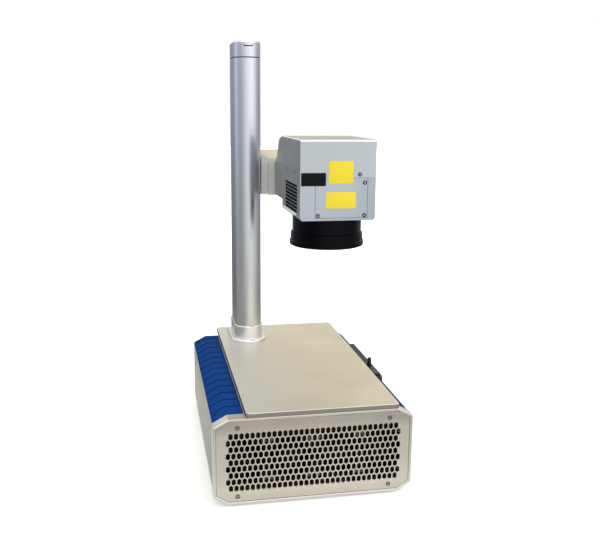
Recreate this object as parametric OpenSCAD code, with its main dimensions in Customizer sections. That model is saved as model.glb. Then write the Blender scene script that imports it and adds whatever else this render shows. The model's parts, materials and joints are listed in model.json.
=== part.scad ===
/* [Base] */
// Width of the base over the front bezel
base_w = 260; // [252:2:300]
// Height of the bezel without the feet
base_h = 115; // [112:1:130]
// Length from the front of the bezel to the back of the cabinet
base_len = 376; // [366:2:396]
// Depth of the front bezel
bezel_d = 18; // [14:1:22]
// Width of the sloping shoulder along the top edges
shoulder_w = 19.5; // [17:0.5:22]
// Height of the sloping shoulder
shoulder_h = 10.5; // [9:0.5:13]
// Thickness of the cabinet's sheet metal
sheet = 2; // [1.5:0.25:2.5]
// Height of the rubber feet
foot_h = 2.5; // [2:0.5:6]

/* [Work plate] */
// Strip of the base that shows left of the work plate
plate_left_margin = 42; // [38:0.5:46]
// Strip of the base that shows right of the work plate
plate_right_margin = 18; // [17.5:0.5:22]
// How far the plate reaches behind the cabinet
plate_overhang = 27.2; // [20:0.2:34]
// Thickness of the work plate
plate_t = 6; // [5:0.5:10]

/* [Grille] */
// Distance between neighbouring holes of a row
hole_pitch = 6.95; // [6.6:0.05:7.4]
// Distance between rows
row_pitch = 8.73; // [8.4:0.01:9.4]
// Least plain rim left and right of the holes
hole_margin = 18; // [16:1:40]
// Least plain rim above and below the holes
row_margin = 18; // [16:1:40]

/* [Column] */
// Height of the column above the work plate, with its cap
column_h = 472.6; // [440:5:520]
// Radius of the column's round front, half its width
column_r = 21; // [19:0.5:23]
// Length of the column's flat flanks
column_flank = 51; // [46:1:56]
// Distance from the base's left side to the column's centre line
column_side = 87; // [84:1:92]
// Distance from the centre of the column's round front to the cabinet's back
column_back = 50; // [46:1:56]
// Travel of the head below the shown place
lift_down = 160; // [60:5:165]
// Travel of the head above the shown place
lift_up = 135; // [60:5:135]

/* [Head] */
// Width of the head
head_w = 105; // [102:1:120]
// Length of the head's main box
head_len = 138; // [130:1:150]
// Height of the head's main box
head_h = 109; // [106:1:120]
// Height of the head's underside above the work plate
head_above_plate = 224; // [200:2:240]
// Distance from the head's front to the centre of the column's round front
head_reach = 214; // [208:1:222]
// Gap between the column's flank and the head, seen from the front
head_gap = 22; // [20:1:26]
// Radius of the lens barrel
lens_r = 49.5; // [44:0.5:50]

/* [Hidden] */
$fn = 96;

// Overrun of cuts past the faces that they open
cut = 1;
// Gap between panels that meet
seam = 0.3;
// Gap between moving pieces
air = 0.5;
// Gap of a screw or rod in the bore that holds it
snug = 0.05;
// Gap of a shaft in its running bore, on the radius
running = 0.05;

// Overall length, from the bezel's front to the plate's back edge
plate_set_back = 0.8;
overall_len = base_len + plate_overhang;
front_y = -overall_len / 2;

// Outline of the cabinet
heel_w = 18.5;
heel_h = 11.5;
body_inset = 0.8;
function slope(a, b) = sqrt(a * a + b * b);
function inset_run(a, b, d) = a - d + d * (slope(a, b) - a) / b;
function section(d) = let (
        w = base_w / 2 - d,
        top = base_h - d,
        sx = inset_run(shoulder_w, shoulder_h, d),
        sz = inset_run(shoulder_h, shoulder_w, d),
        hx = inset_run(heel_w, heel_h, d),
        hz = inset_run(heel_h, heel_w, d)
    ) [[-w + hx, d], [w - hx, d], [w, d + hz], [w, top - sz],
       [w - sx, top], [-w + sx, top], [-w, top - sz], [-w, d + hz]];
shoulder_top_x = section(body_inset)[4][0];
shoulder_low_z = section(body_inset)[3][1];
heel_top_z = section(body_inset)[2][1];
body_x = section(body_inset)[3][0];
body_top = base_h - body_inset;
body_start = bezel_d;
body_end = base_len;
body_len = body_end - body_start;

// Bezel and grille
rim = 3.4;
rim_proud = 0.9;
grille_t = 1.4;
grille_gap = 0.8;
ledge_t = 3;
ledge_side = 14;
ledge_rim = 18.5;
ledge_inner_w = base_w - 2 * ledge_side;
ledge_inner_h = base_h - 2 * ledge_rim;
grille_drop = 0.75;
grille_mid_z = base_h / 2 - grille_drop;
grille_screw_side = 30.9;
grille_screw_edge = 11.4;
grille_screw_x = base_w / 2 - grille_screw_side;
grille_screw_z = base_h / 2 - grille_screw_edge;
screw_r = 1.5;
screw_head_r = 2.75;
screw_head_h = 1.7;
screw_sink = 1.1;
screw_drive_r = 1.3;
screw_drive_depth = 1;
hole_w = 5.5;
hole_h = 9.1;
hole_shoulder = 2.6;
hole_count = floor((base_w - 2 * hole_margin) / hole_pitch);
hole_rows = floor((base_h - 2 * row_margin) / row_pitch);
ledge_y = rim_proud + grille_t;

// Trims
trim_t = 2.5;
trim_reach = 41;
trim_inner_x = base_w / 2 - trim_reach;
groove_pitch = 26;
groove_w = 4.6;
groove_depth = 1.1;
groove_margin = 2.6;
groove_last = 16.7;
groove_count = floor((body_len - groove_last) / groove_pitch);
foot_r = 9;
foot_side = 38;
foot_x = base_w / 2 - foot_side;
foot_end = 34;
trim_screw_r = 2.4;
trim_screw_front = 22;
trim_screw_back = 6;
trim_screw_share = 0.68;

// Rails, plate and its screws
rail_w = 12;
rail_h = 12;
rail_x = trim_inner_x - rail_w / 2;
plate_corner = 3;
plate_w = base_w - plate_left_margin - plate_right_margin;
plate_len = overall_len - plate_set_back;
plate_left = plate_left_margin - base_w / 2;
plate_top = base_h + plate_t;
plate_screw_r = 2.5;
plate_screw_head_r = 4.5;
plate_screw_head_h = 3;
plate_screw_bite = 4;
plate_screw_end = 28;
plate_screw_ys = [body_start + plate_screw_end, (body_start + body_end) / 2, body_end - plate_screw_end];

// Rear panel
vent_count = 9;
vent_w = 3;
vent_h = 34;
vent_pitch = 7;
vent_side = 68;
vent_x = base_w / 2 - vent_side;
rear_drop = 1.5;
rear_mid_z = base_h / 2 - rear_drop;
inlet_side = 38;
inlet_x = inlet_side - base_w / 2;
inlet_w = 28;
inlet_h = 20;
inlet_depth = 18;
inlet_flange = 3;
inlet_flange_w = 46;
inlet_flange_h = 26;
inlet_core_w = 24;
inlet_core_h = 15;
inlet_well = 14;
pin_w = 2;
pin_h = 4;
pin_gap = 7;
pin_len = 11;
rocker_step = 44;
rocker_x = inlet_x + rocker_step;
rocker_hole_w = 20;
rocker_hole_h = 14;
rocker_bezel = 2;
rocker_frame_depth = 14;
rocker_wall = 1.2;
rocker_pivot_r = 1.2;
rocker_pivot_depth = 3;
rocker_swing = 7;
rocker_half = rocker_hole_w / 2 - rocker_wall - air;
rocker_proud = 2.6;
rocker_back = 3;
socket_x = 0;
socket_r = 7;
socket_flange_r = 9;
socket_len = 12;
socket_proud = 4;
socket_step = 22;
usb_w = 12;
usb_h = 11;
usb_wall = 1.2;

// Fans
fan_count = 4;
fan_margin = 10;
fan_size = (base_w - 2 * fan_margin) / fan_count;
fan_t = 15;
fan_rim = 2;
fan_bore_r = fan_size / 2 - fan_rim;
fan_tip_gap = 1.5;
fan_rotor_r = fan_bore_r - fan_tip_gap;
fan_hub_r = 12;
fan_hub_t = 12;
fan_blades = 7;
fan_blade_t = 1.4;
fan_blade_tilt = 38;
fan_blade_depth = 10;
fan_axle_r = 1.5;
fan_hole_in = 5;
fan_hole = fan_size / 2 - fan_hole_in;
fan_hole_r = 2.1;
fan_strut = 3;
fan_strut_t = 2;
fan_plate_t = 1.5;
fan_plate_y = ledge_y + ledge_t;
fan_y = fan_plate_y + fan_plate_t;
fan_plate_side = 7;
fan_plate_edge = 15.5;
fan_plate_w = base_w - 2 * fan_plate_side;
fan_plate_h = base_h - 2 * fan_plate_edge;
function fan_x(i) = (i - (fan_count - 1) / 2) * fan_size;

// Modules inside the cabinet
supply_w = 98;
supply_len = 90;
supply_h = 42;
supply_gap = 1.7;
supply_back = 24;
supply_x = body_x - heel_w - supply_gap - supply_w / 2;
supply_y = base_len - supply_back - supply_len;
source_gap = 10.7;
source_w = 2 * (body_x - heel_w - source_gap);
source_h = 62;
source_y = 60;
source_back = 32;
source_len = supply_y - source_back - source_y;
source_fins = 14;
source_fin_t = 2;
source_fin_h = 14;
board_w = 110;
board_len = 84;
board_t = 1.6;
board_x = -20;
board_y = source_y + (source_len - board_len) / 2;
board_lift = 8;
board_z = body_inset + sheet + source_h + board_lift;
standoff_r = 3;
standoff_inset = 6;
source_pad = 9;
chip_w = 16;
chip_h = 2.5;
tray_top = body_inset + sheet;

// Control console on the right shoulder
console_back = 85;
console_len = 167;
console_end = base_len - console_back;
console_start = console_end - console_len;
console_side = 1.6;
console_w = 14.2;
console_outer = body_x - console_side;
console_inner = console_outer - console_w;
console_drop = 1;
console_h = base_h - console_drop;
console_face_t = 1;
console_face_w = 11;
console_face_len = 95;
console_face_inner = console_outer - console_face_w;
console_face_start = console_end - console_face_len;
console_rib_pitch = 4;
console_rib_w = 1.6;
console_rib_depth = 0.5;
console_round = 7;
lever_in = 5;
lever_front = 57;
lever_x = console_outer - lever_in;
lever_y = console_start + lever_front;
lever_r = 2.8;
lever_root_r = 3.3;
lever_h = 13.5;
lever_well_r = 4.3;
lever_pin_r = 1.2;
lever_pivot_depth = 2.4;
button_in = 7;
button_front = 11;
button_x = console_outer - button_in;
button_y = console_start + button_front;
button_r = 5;
button_proud = 3.4;
button_travel = 1.8;
button_depth = 2.8;
function shoulder_z(x) = shoulder_low_z
    + (body_x - x) * (body_top - shoulder_low_z) / (body_x - shoulder_top_x);

// Column
column_wall = 3;
column_corner = 4;
foot_grow = 8;
foot_ring_h = 5.5;
collar_grow = 1.8;
collar_h = 21;
cap_h = 24.8;
cap_reveal = 0.9;
cap_reveal_h = 1.3;
cap_notch_w = 16.4;
cap_notch_h = 2.8;
cap_notch_slant = 2.4;
cap_notch_line = 1.3;
cap_notch_below = 5.4;
cap_notch_depth = 1.6;
slot_w = 40;
slot_y = 20;
rod_r = 4;
rod_y = -1;
rod_gap = 40;
screw_y = 19;
lead_r = 4;
lead_pitch = 4;
thread_depth = 0.5;
foot_bore_r = 5.2;
top_block_h = 12;
bearing_r = 8;
bearing_h = 4;
motor_w = 42;
motor_h = 38;
motor_corner = 4;
motor_block_h = 12;
motor_boss_r = 11;
motor_boss_h = 2;
column_x = column_side - base_w / 2;
column_y = base_len - column_back;
column_base = plate_top + foot_ring_h;
column_top = plate_top + column_h - cap_h;
top_block_z = column_top - top_block_h;
screw_start = base_h - motor_block_h - motor_h / 2;
screw_end = top_block_z + bearing_h;

// Lift carriage and arm
arm_up = 14.5;
arm_bottom = plate_top + head_above_plate + arm_up;
arm_h = 57;
arm_rise = 11;
arm_forward = 5;
arm_y = column_y - arm_forward;
arm_len = 56;
arm_left = air - head_gap;
arm_short = 21;
arm_right = head_w - arm_short;
arm_groove_x = -10;
arm_groove_w = 1.2;
arm_groove_depth = 1.5;
arm_groove_end = 3;
arm_step = 1.5;
rib_w = 13;
rib_h = 8;
rib_t = 1.5;
carriage_w = 28;
carriage_back = 3;
carriage_len = 56;
carriage_margin = 4;
tongue_len = 34;
lead_clear = 0.4;

// Head
head_x = column_x + column_r + head_gap;
head_y = column_y - head_reach;
head_z = plate_top + head_above_plate;
head_floor_h = 3.5;
head_floor_bevel = 3;
beam_bore_r = 24;
head_wall = 2.5;
shell_top = 58;
head_round = 3.5;
strip_start = 25;
strip_len = 100;
strip_h = 3.4;
strip_mid_z = 6;
strip_t = 1;
panel_left = 20.7;
panel_side = 11.3;
panel_right = head_w - panel_side;
panel_t = 2;
louvre_count = 8;
louvre_pitch = 5;
louvre_w = 3.1;
louvre_start = 20;
louvre_len = 90;
louvre_top = 46.4;
louvre_frame = 4;
filter_t = 1;
front_screw_in = 4.1;
front_screw_low = 7;
front_screw_high = 51.2;
cover_screw_in = 11.3;
cover_screw_x = panel_right - cover_screw_in;
cover_screw_z = 62.3;
front_screws = [[panel_left + front_screw_in, front_screw_low], [panel_right - front_screw_in, front_screw_low],
    [panel_right - front_screw_in, front_screw_high], [cover_screw_x, cover_screw_z]];
side_screw_shares = [0.297, 0.763];
side_screw_z = 63.5;
side_screw_r = 1.6;
rear_block_low = 15;
rear_block_high = 67;
rear_block_end = arm_y - seam;
rear_slope_drop = 5;
rear_slope_top = head_h - rear_slope_drop;
rear_slope_y = 28;
rear_slope_end = 60;
rear_round = 10;
rear_round_steps = 8;
tag_t = 0.5;
// Left edge, lower edge, width and height of each tag, in widths and heights of the head
tag_shares = [[0.013, 0.429, 0.324, 0.16], [0.373, 0.456, 0.324, 0.273], [0.341, 0.151, 0.396, 0.204]];

// Lens
lens_x = head_w / 2;
lens_set_back = 66;
lens_y = head_y + lens_set_back;
lens_ring_grow = 2.2;
lens_lip_grow = 3.6;
lens_barrel_h = 24;
lens_ring_h = 11;
lens_lip_h = 7;
lens_bevel_h = 1.6;
lens_bevel = 3.6;
lens_glass_t = 4;
lens_glass_up = 3;
lens_bore_r = 40;
lens_ring_z = head_z - lens_barrel_h - lens_ring_h;

// Galvanometers and beam
beam_h = 40;
beam_side = 18;
beam_z = head_z + beam_h;
beam_x = lens_x + beam_side;
galvo_r = 10;
galvo_len = 42;
galvo_y_start = 15;
galvo_x_start = 15;
galvo_shaft_r = 2;
mirror_t = 2;
mirror_x_w = 13;
mirror_x_h = 18;
mirror_y_w = 20;
mirror_y_h = 22;
mount_wall = 4;
collimator_r = 15;
collimator_len = 74;

// Puts a piece drawn from the bezel's lower front edge into the part's frame
module in_frame() {
    translate([0, front_y, foot_h]) children();
}

// Extrudes an outline drawn across the machine from y0 over a length
module along_y(y0, length) {
    translate([0, y0 + length, 0]) rotate([90, 0, 0]) linear_extrude(length) children();
}

// Extrudes an outline drawn in side view, y and z, from x0 over a width
module along_x(x0, width) {
    translate([x0, 0, 0]) rotate([90, 0, 90]) linear_extrude(width) children();
}

// Band of the cabinet's outline, from one inset to a deeper one
module band(outer, inner) {
    difference() {
        polygon(section(outer));
        polygon(section(inner));
    }
}

module mirror_copy() {
    children();
    mirror([1, 0, 0]) children();
}

module box(x0, y0, z0, size) {
    translate([x0, y0, z0]) cube(size);
}

// Column outline: a round front and flat flanks with rounded back corners
module column_solid(grow, corner, height) {
    r = column_r + grow;
    back = column_flank + grow;
    cylinder(r = r, h = height);
    translate([-r, 0, 0]) cube([2 * r, back - corner, height]);
    translate([-r + corner, 0, 0]) cube([2 * (r - corner), back, height]);
    for (side = [-1, 1]) translate([side * (r - corner), back - corner, 0]) cylinder(r = corner, h = height);
}

module at_column(z) {
    translate([column_x, column_y, z]) children();
}

// Screw with a sunk drive, head face at y = 0, pointing back
module screw(r, head_r, head_h, length, drive_r) {
    rotate([-90, 0, 0]) difference() {
        union() {
            cylinder(r = head_r, h = head_h);
            cylinder(r = r, h = length);
        }
        translate([0, 0, -cut]) cylinder(r = drive_r, h = screw_drive_depth + cut, $fn = 6);
    }
}

module bezel_opening() {
    translate([-ledge_inner_w / 2, grille_mid_z - ledge_inner_h / 2]) square([ledge_inner_w, ledge_inner_h]);
}

module grille_screw_places() {
    for (x = [-1, 1], z = [-1, 1])
        translate([x * grille_screw_x, 0, grille_mid_z + z * grille_screw_z]) children();
}

module front_bezel() {
    color("gainsboro") in_frame() difference() {
        union() {
            along_y(0, bezel_d) band(0, rim);
            along_y(ledge_y, ledge_t) difference() {
                polygon(section(rim / 2));
                bezel_opening();
            }
        }
        grille_screw_places() translate([0, ledge_y - cut, 0]) rotate([-90, 0, 0])
            cylinder(r = screw_r + snug, h = ledge_t + 2 * cut);
    }
}

module slot_hole() {
    polygon([[0, -hole_h / 2], [hole_w / 2, -hole_shoulder], [hole_w / 2, hole_shoulder],
        [0, hole_h / 2], [-hole_w / 2, hole_shoulder], [-hole_w / 2, -hole_shoulder]]);
}

module hole_field() {
    for (row = [0 : hole_rows - 1]) {
        extra = row % 2;
        z = grille_mid_z + ((hole_rows - 1) / 2 - row) * row_pitch;
        for (i = [0 : hole_count - 1 + extra])
            translate([(i - (hole_count - 1 + extra) / 2) * hole_pitch, z]) slot_hole();
    }
}

module grille_plate() {
    color("tan") in_frame() difference() {
        along_y(rim_proud, grille_t) difference() {
            polygon(section(rim + grille_gap));
            hole_field();
        }
        grille_screw_places() rotate([-90, 0, 0]) {
            cylinder(r = screw_r + 2 * snug, h = ledge_y + cut);
            cylinder(r = screw_head_r + seam, h = rim_proud + screw_sink);
        }
    }
}

module grille_screws() {
    color("dimgray") in_frame() grille_screw_places()
        translate([0, rim_proud + screw_sink - screw_head_h, 0])
        screw(screw_r, screw_head_r, screw_head_h, screw_head_h + grille_t + ledge_t / 2, screw_drive_r);
}

module shoulder_window() {
    translate([trim_inner_x, shoulder_low_z]) square([base_w / 2 - trim_inner_x, shoulder_h]);
}

// Place on the right shoulder, a share of the way down its slope, facing out
module on_shoulder(y, share) {
    x = shoulder_top_x + share * (body_x - shoulder_top_x);
    translate([x, y, shoulder_z(x)])
        rotate([0, atan2(body_top - shoulder_low_z, body_x - shoulder_top_x), 0]) children();
}

module trim_screw_places() {
    for (y = [body_start + trim_screw_front, body_end - trim_screw_back])
        on_shoulder(y, trim_screw_share) children();
}

module trim() {
    difference() {
        along_y(body_start, body_len) intersection() {
            band(body_inset, body_inset + trim_t);
            shoulder_window();
        }
        for (i = [0 : groove_count - 1])
            along_y(body_end - groove_last - i * groove_pitch - groove_w / 2, groove_w) intersection() {
                band(0, body_inset + groove_depth);
                translate([trim_inner_x + groove_margin, 0]) square([base_w, base_h]);
            }
        trim_screw_places() translate([0, 0, -trim_t - cut]) cylinder(r = screw_r + snug, h = trim_t + 2 * cut);
    }
}

module trim_right() {
    color("royalblue") in_frame() trim();
}

module trim_left() {
    color("royalblue") in_frame() mirror([1, 0, 0]) trim();
}

module trim_screws() {
    color("black") in_frame() mirror_copy() trim_screw_places() difference() {
        union() {
            cylinder(r = trim_screw_r, h = screw_sink);
            translate([0, 0, -trim_t]) cylinder(r = screw_r, h = trim_t);
        }
        translate([0, 0, screw_sink - screw_drive_depth / 2]) cylinder(r = screw_drive_r, h = cut, $fn = 6);
    }
}

module side_panel() {
    box(body_x - sheet, body_start, heel_top_z, [sheet, body_len, shoulder_low_z - heel_top_z]);
}

module side_panel_right() {
    color("gainsboro") in_frame() side_panel();
}

module side_panel_left() {
    color("gainsboro") in_frame() mirror([1, 0, 0]) side_panel();
}

module floor_tray() {
    color("gainsboro") in_frame() along_y(body_start, body_len) intersection() {
        band(body_inset, body_inset + sheet);
        translate([-base_w / 2, 0]) square([base_w, heel_top_z]);
    }
}

module feet() {
    color("black") in_frame() for (x = [-1, 1], y = [foot_end, base_len - foot_end])
        translate([x * foot_x, y, -foot_h]) cylinder(r = foot_r, h = foot_h + body_inset);
}

module rear_cutouts() {
    translate([inlet_x - inlet_w / 2, rear_mid_z - inlet_h / 2]) square([inlet_w, inlet_h]);
    translate([rocker_x - rocker_hole_w / 2, rear_mid_z - rocker_hole_h / 2])
        square([rocker_hole_w, rocker_hole_h]);
    translate([socket_x + socket_step - usb_w / 2, rear_mid_z - usb_h / 2]) square([usb_w, usb_h]);
    for (i = [0 : vent_count - 1])
        translate([vent_x + (i - (vent_count - 1) / 2) * vent_pitch - vent_w / 2, rear_mid_z - vent_h / 2])
            square([vent_w, vent_h]);
}

module rear_panel() {
    color("gainsboro") in_frame() difference() {
        along_y(body_end - sheet, sheet) difference() {
            polygon(section(body_inset + trim_t + seam));
            rear_cutouts();
        }
        translate([socket_x, body_end - sheet - cut, rear_mid_z]) rotate([-90, 0, 0])
            cylinder(r = socket_r + snug, h = sheet + 2 * cut);
    }
}

module mains_inlet() {
    color("black") in_frame() translate([inlet_x, 0, rear_mid_z]) {
        difference() {
            union() {
                box(-inlet_flange_w / 2, body_end, -inlet_flange_h / 2,
                    [inlet_flange_w, inlet_flange, inlet_flange_h]);
                box(-inlet_w / 2 + seam, body_end - inlet_depth, -inlet_h / 2 + seam,
                    [inlet_w - 2 * seam, inlet_depth, inlet_h - 2 * seam]);
            }
            box(-inlet_core_w / 2, body_end + inlet_flange - inlet_well, -inlet_core_h / 2,
                [inlet_core_w, inlet_well + cut, inlet_core_h]);
        }
        for (i = [-1 : 1])
            box(i * pin_gap - pin_w / 2, body_end + inlet_flange - inlet_well, -pin_h / 2,
                [pin_w, pin_len, pin_h]);
    }
}

module rocker_frame() {
    color("black") in_frame() translate([rocker_x, 0, rear_mid_z]) difference() {
        union() {
            box(-rocker_hole_w / 2 - rocker_bezel, body_end, -rocker_hole_h / 2 - rocker_bezel,
                [rocker_hole_w + 2 * rocker_bezel, rocker_bezel, rocker_hole_h + 2 * rocker_bezel]);
            box(-rocker_hole_w / 2 + seam, body_end - rocker_frame_depth, -rocker_hole_h / 2 + seam,
                [rocker_hole_w - 2 * seam, rocker_frame_depth, rocker_hole_h - 2 * seam]);
        }
        box(-rocker_hole_w / 2 + rocker_wall, body_end - rocker_frame_depth + rocker_wall,
            -rocker_hole_h / 2 + rocker_wall,
            [rocker_hole_w - 2 * rocker_wall, rocker_frame_depth + rocker_bezel, rocker_hole_h - 2 * rocker_wall]);
        translate([0, body_end - rocker_pivot_depth, -rocker_hole_h / 2])
            cylinder(r = rocker_pivot_r + running, h = rocker_hole_h);
    }
}

// Rocker: a shallow V outline across the machine, tilted to off about an upright pin
module mains_rocker() {
    height = rocker_hole_h - 2 * rocker_wall - 2 * air;
    color("firebrick") in_frame() translate([rocker_x, body_end - rocker_pivot_depth, rear_mid_z])
        rotate([0, 0, -rocker_swing]) {
        translate([0, 0, -height / 2]) linear_extrude(height) polygon([[-rocker_half, -rocker_back / 2],
            [0, -rocker_back], [rocker_half, -rocker_back / 2],
            [rocker_half - rocker_wall, rocker_pivot_depth + rocker_proud],
            [0, rocker_pivot_depth + rocker_proud / 2],
            [-rocker_half + rocker_wall, rocker_pivot_depth + rocker_proud]]);
        cylinder(r = rocker_pivot_r, h = rocker_hole_h - rocker_wall, center = true);
    }
}

module data_sockets() {
    color("silver") in_frame() {
        translate([socket_x, body_end - sheet - socket_len / 2, rear_mid_z]) rotate([-90, 0, 0]) difference() {
            union() {
                cylinder(r = socket_r, h = socket_len / 2 + sheet + socket_proud);
                translate([0, 0, socket_len / 2 + sheet]) cylinder(r = socket_flange_r, h = socket_proud / 2);
            }
            translate([0, 0, socket_len / 2]) cylinder(r = socket_r - usb_wall, h = socket_len);
        }
        translate([socket_x + socket_step, body_end - sheet - socket_len / 2, rear_mid_z]) difference() {
            box(-usb_w / 2 + snug, 0, -usb_h / 2 + snug,
                [usb_w - 2 * snug, socket_len / 2 + sheet + seam, usb_h - 2 * snug]);
            box(-usb_w / 2 + usb_wall, usb_wall, -usb_h / 2 + usb_wall,
                [usb_w - 2 * usb_wall, socket_len, usb_h - 2 * usb_wall]);
        }
    }
}

module plate_screw_places() {
    for (x = [-rail_x, rail_x], y = plate_screw_ys) translate([x, y, 0]) children();
}

module deck_rails() {
    color("silver") in_frame() difference() {
        mirror_copy() box(rail_x - rail_w / 2, body_start, base_h - rail_h,
            [rail_w, body_len - sheet, rail_h]);
        plate_screw_places() translate([0, 0, base_h - rail_h - cut])
            cylinder(r = plate_screw_r + snug, h = rail_h + 2 * cut);
    }
}

module plate_screws() {
    color("silver") in_frame() plate_screw_places() translate([0, 0, base_h - rail_h]) difference() {
        union() {
            cylinder(r = plate_screw_r, h = rail_h + plate_screw_bite);
            translate([0, 0, -plate_screw_head_h]) cylinder(r = plate_screw_head_r, h = plate_screw_head_h);
        }
        translate([0, 0, -plate_screw_head_h - cut])
            cylinder(r = plate_screw_r, h = plate_screw_head_h / 2 + cut, $fn = 6);
    }
}

module work_plate() {
    c = plate_corner;
    color("wheat") in_frame() difference() {
        translate([plate_left, plate_set_back, base_h]) linear_extrude(plate_t)
            polygon([[c, 0], [plate_w - c, 0], [plate_w, c], [plate_w, plate_len - c],
                [plate_w - c, plate_len], [c, plate_len], [0, plate_len - c], [0, c]]);
        plate_screw_places() translate([0, 0, base_h - cut])
            cylinder(r = plate_screw_r + snug, h = plate_screw_bite + cut + air);
        at_column(base_h - cut) translate([0, screw_y, 0]) cylinder(r = foot_bore_r, h = plate_t + 2 * cut);
    }
}

module fan_places() {
    for (i = [0 : fan_count - 1]) translate([fan_x(i), 0, grille_mid_z]) children();
}

module fan_plate() {
    color("black") in_frame() difference() {
        box(-fan_plate_w / 2, fan_plate_y, grille_mid_z - fan_plate_h / 2, [fan_plate_w, fan_plate_t, fan_plate_h]);
        fan_places() translate([0, fan_plate_y - cut, 0]) rotate([-90, 0, 0]) {
            cylinder(r = fan_bore_r, h = fan_plate_t + 2 * cut);
            for (x = [-1, 1], y = [-1, 1]) translate([x * fan_hole, y * fan_hole, 0])
                cylinder(r = fan_hole_r, h = fan_plate_t + 2 * cut);
        }
    }
}

module fan_frame() {
    difference() {
        linear_extrude(fan_t) difference() {
            square(fan_size - seam, center = true);
            circle(r = fan_bore_r);
        }
        for (x = [-1, 1], y = [-1, 1]) translate([x * fan_hole, y * fan_hole, -cut])
            cylinder(r = fan_hole_r, h = fan_t + 2 * cut);
    }
    difference() {
        union() {
            for (a = [45, 135]) rotate([0, 0, a])
                translate([-fan_bore_r - seam, -fan_strut / 2, fan_t - fan_strut_t])
                    cube([2 * (fan_bore_r + seam), fan_strut, fan_strut_t]);
            translate([0, 0, fan_t - fan_strut_t]) cylinder(r = fan_hub_r, h = fan_strut_t);
        }
        translate([0, 0, fan_t - fan_strut_t - cut]) cylinder(r = fan_axle_r + running, h = fan_strut_t + 2 * cut);
    }
}

module fan_frames() {
    color("black") in_frame() fan_places() translate([0, fan_y, 0]) rotate([-90, 0, 0]) fan_frame();
}

module fan_rotor(i) {
    color("black") in_frame() translate([fan_x(i), fan_y, grille_mid_z]) rotate([-90, 0, 0]) {
        cylinder(r = fan_hub_r, h = fan_hub_t);
        cylinder(r = fan_axle_r, h = fan_t);
        for (b = [0 : fan_blades - 1]) rotate([0, 0, b * 360 / fan_blades]) intersection() {
            translate([fan_hub_r - fan_blade_t, 0, fan_hub_t / 2]) rotate([fan_blade_tilt, 0, 0])
                translate([0, -fan_blade_depth / 2, -fan_blade_t / 2])
                cube([fan_rotor_r - fan_hub_r + fan_blade_t, fan_blade_depth, fan_blade_t]);
            cylinder(r = fan_rotor_r, h = fan_hub_t);
        }
    }
}

module laser_source() {
    fin_gap = (source_w - source_fin_t) / (source_fins - 1);
    color("slategray") in_frame() translate([-source_w / 2, source_y, tray_top]) {
        cube([source_w, source_len, source_h - source_fin_h]);
        for (i = [0 : source_fins - 1]) translate([i * fin_gap, 0, 0]) cube([source_fin_t, source_len, source_h]);
    }
    color("slategray") in_frame() board_corners() translate([-source_pad / 2, -source_pad / 2, 0])
        mirror([0, 0, 1]) translate([0, 0, board_lift]) cube([source_pad, source_pad, source_fin_h]);
}

module power_supply() {
    color("silver") in_frame() box(supply_x - supply_w / 2, supply_y, tray_top, [supply_w, supply_len, supply_h]);
}

module board_corners() {
    for (x = [-1, 1], y = [0, 1])
        translate([board_x + x * (board_w / 2 - standoff_inset),
            board_y + standoff_inset + y * (board_len - 2 * standoff_inset), board_z]) children();
}

module control_board() {
    color("darkgreen") in_frame() {
        difference() {
            box(board_x - board_w / 2, board_y, board_z, [board_w, board_len, board_t]);
            board_corners() translate([0, 0, -cut]) cylinder(r = screw_r + snug, h = board_t + 2 * cut);
        }
        for (x = [-1, 1], y = [-1, 1])
            box(board_x + x * chip_w - chip_w / 2, board_y + board_len / 2 + y * chip_w - chip_w / 2,
                board_z + board_t, [chip_w - chip_h, chip_w - chip_h, chip_h]);
    }
}

module board_standoffs() {
    color("goldenrod") in_frame() board_corners() {
        translate([0, 0, -board_lift]) cylinder(r = standoff_r, h = board_lift);
        cylinder(r = screw_r, h = board_t);
        translate([0, 0, board_t]) cylinder(r = standoff_r, h = board_t);
    }
}

module console_housing() {
    color("black") in_frame() difference() {
        intersection() {
            along_y(console_start, console_end - console_start) polygon([
                [console_inner, shoulder_z(console_inner)],
                [console_outer, shoulder_z(console_outer)],
                [console_outer, console_h],
                [console_inner, console_h]]);
            union() {
                box(console_inner, console_start + console_round, 0,
                    [base_w, console_end - console_start, base_h]);
                translate([console_outer - console_round, console_start + console_round, 0])
                    cylinder(r = console_round, h = base_h);
                box(console_inner - console_round, console_start, 0,
                    [console_outer - console_inner, 2 * console_round, base_h]);
            }
        }
        box(console_face_inner, console_face_start, console_h - console_face_t,
            [base_w, console_end - console_face_start + cut, base_h]);
        translate([lever_x, lever_y, console_h - lever_pivot_depth - lever_root_r - air]) cylinder(r = lever_well_r, h = base_h);
        translate([button_x, button_y, console_h - button_depth]) cylinder(r = button_r + air / 2, h = base_h);
    }
}

module console_face() {
    length = console_end - console_face_start;
    color("lightslategray") in_frame() difference() {
        box(console_face_inner, console_face_start, console_h - console_face_t,
            [console_outer - console_face_inner, length, console_face_t]);
        for (y = [console_rib_pitch : console_rib_pitch : length - console_rib_pitch])
            box(console_face_inner - cut, console_face_start + y - console_rib_w / 2, console_h - console_rib_depth,
                [base_w, console_rib_w, cut]);
    }
}

module toggle_lever() {
    color("black") in_frame() translate([lever_x, lever_y, console_h - lever_pivot_depth]) {
        cylinder(r1 = lever_root_r, r2 = lever_r, h = lever_h);
        sphere(r = lever_root_r + air / 2);
        along_x(air - lever_well_r, 2 * (lever_well_r - air)) circle(r = lever_pin_r);
    }
}

module push_button() {
    color("black") in_frame() translate([button_x, button_y, console_h - button_depth + button_travel + seam])
        cylinder(r = button_r, h = button_depth - button_travel - seam + button_proud);
}

module column_foot() {
    color("silver") in_frame() at_column(plate_top) difference() {
        column_solid(foot_grow, column_corner, foot_ring_h);
        translate([0, screw_y, -cut]) cylinder(r = foot_bore_r, h = foot_ring_h + 2 * cut);
    }
}

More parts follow.
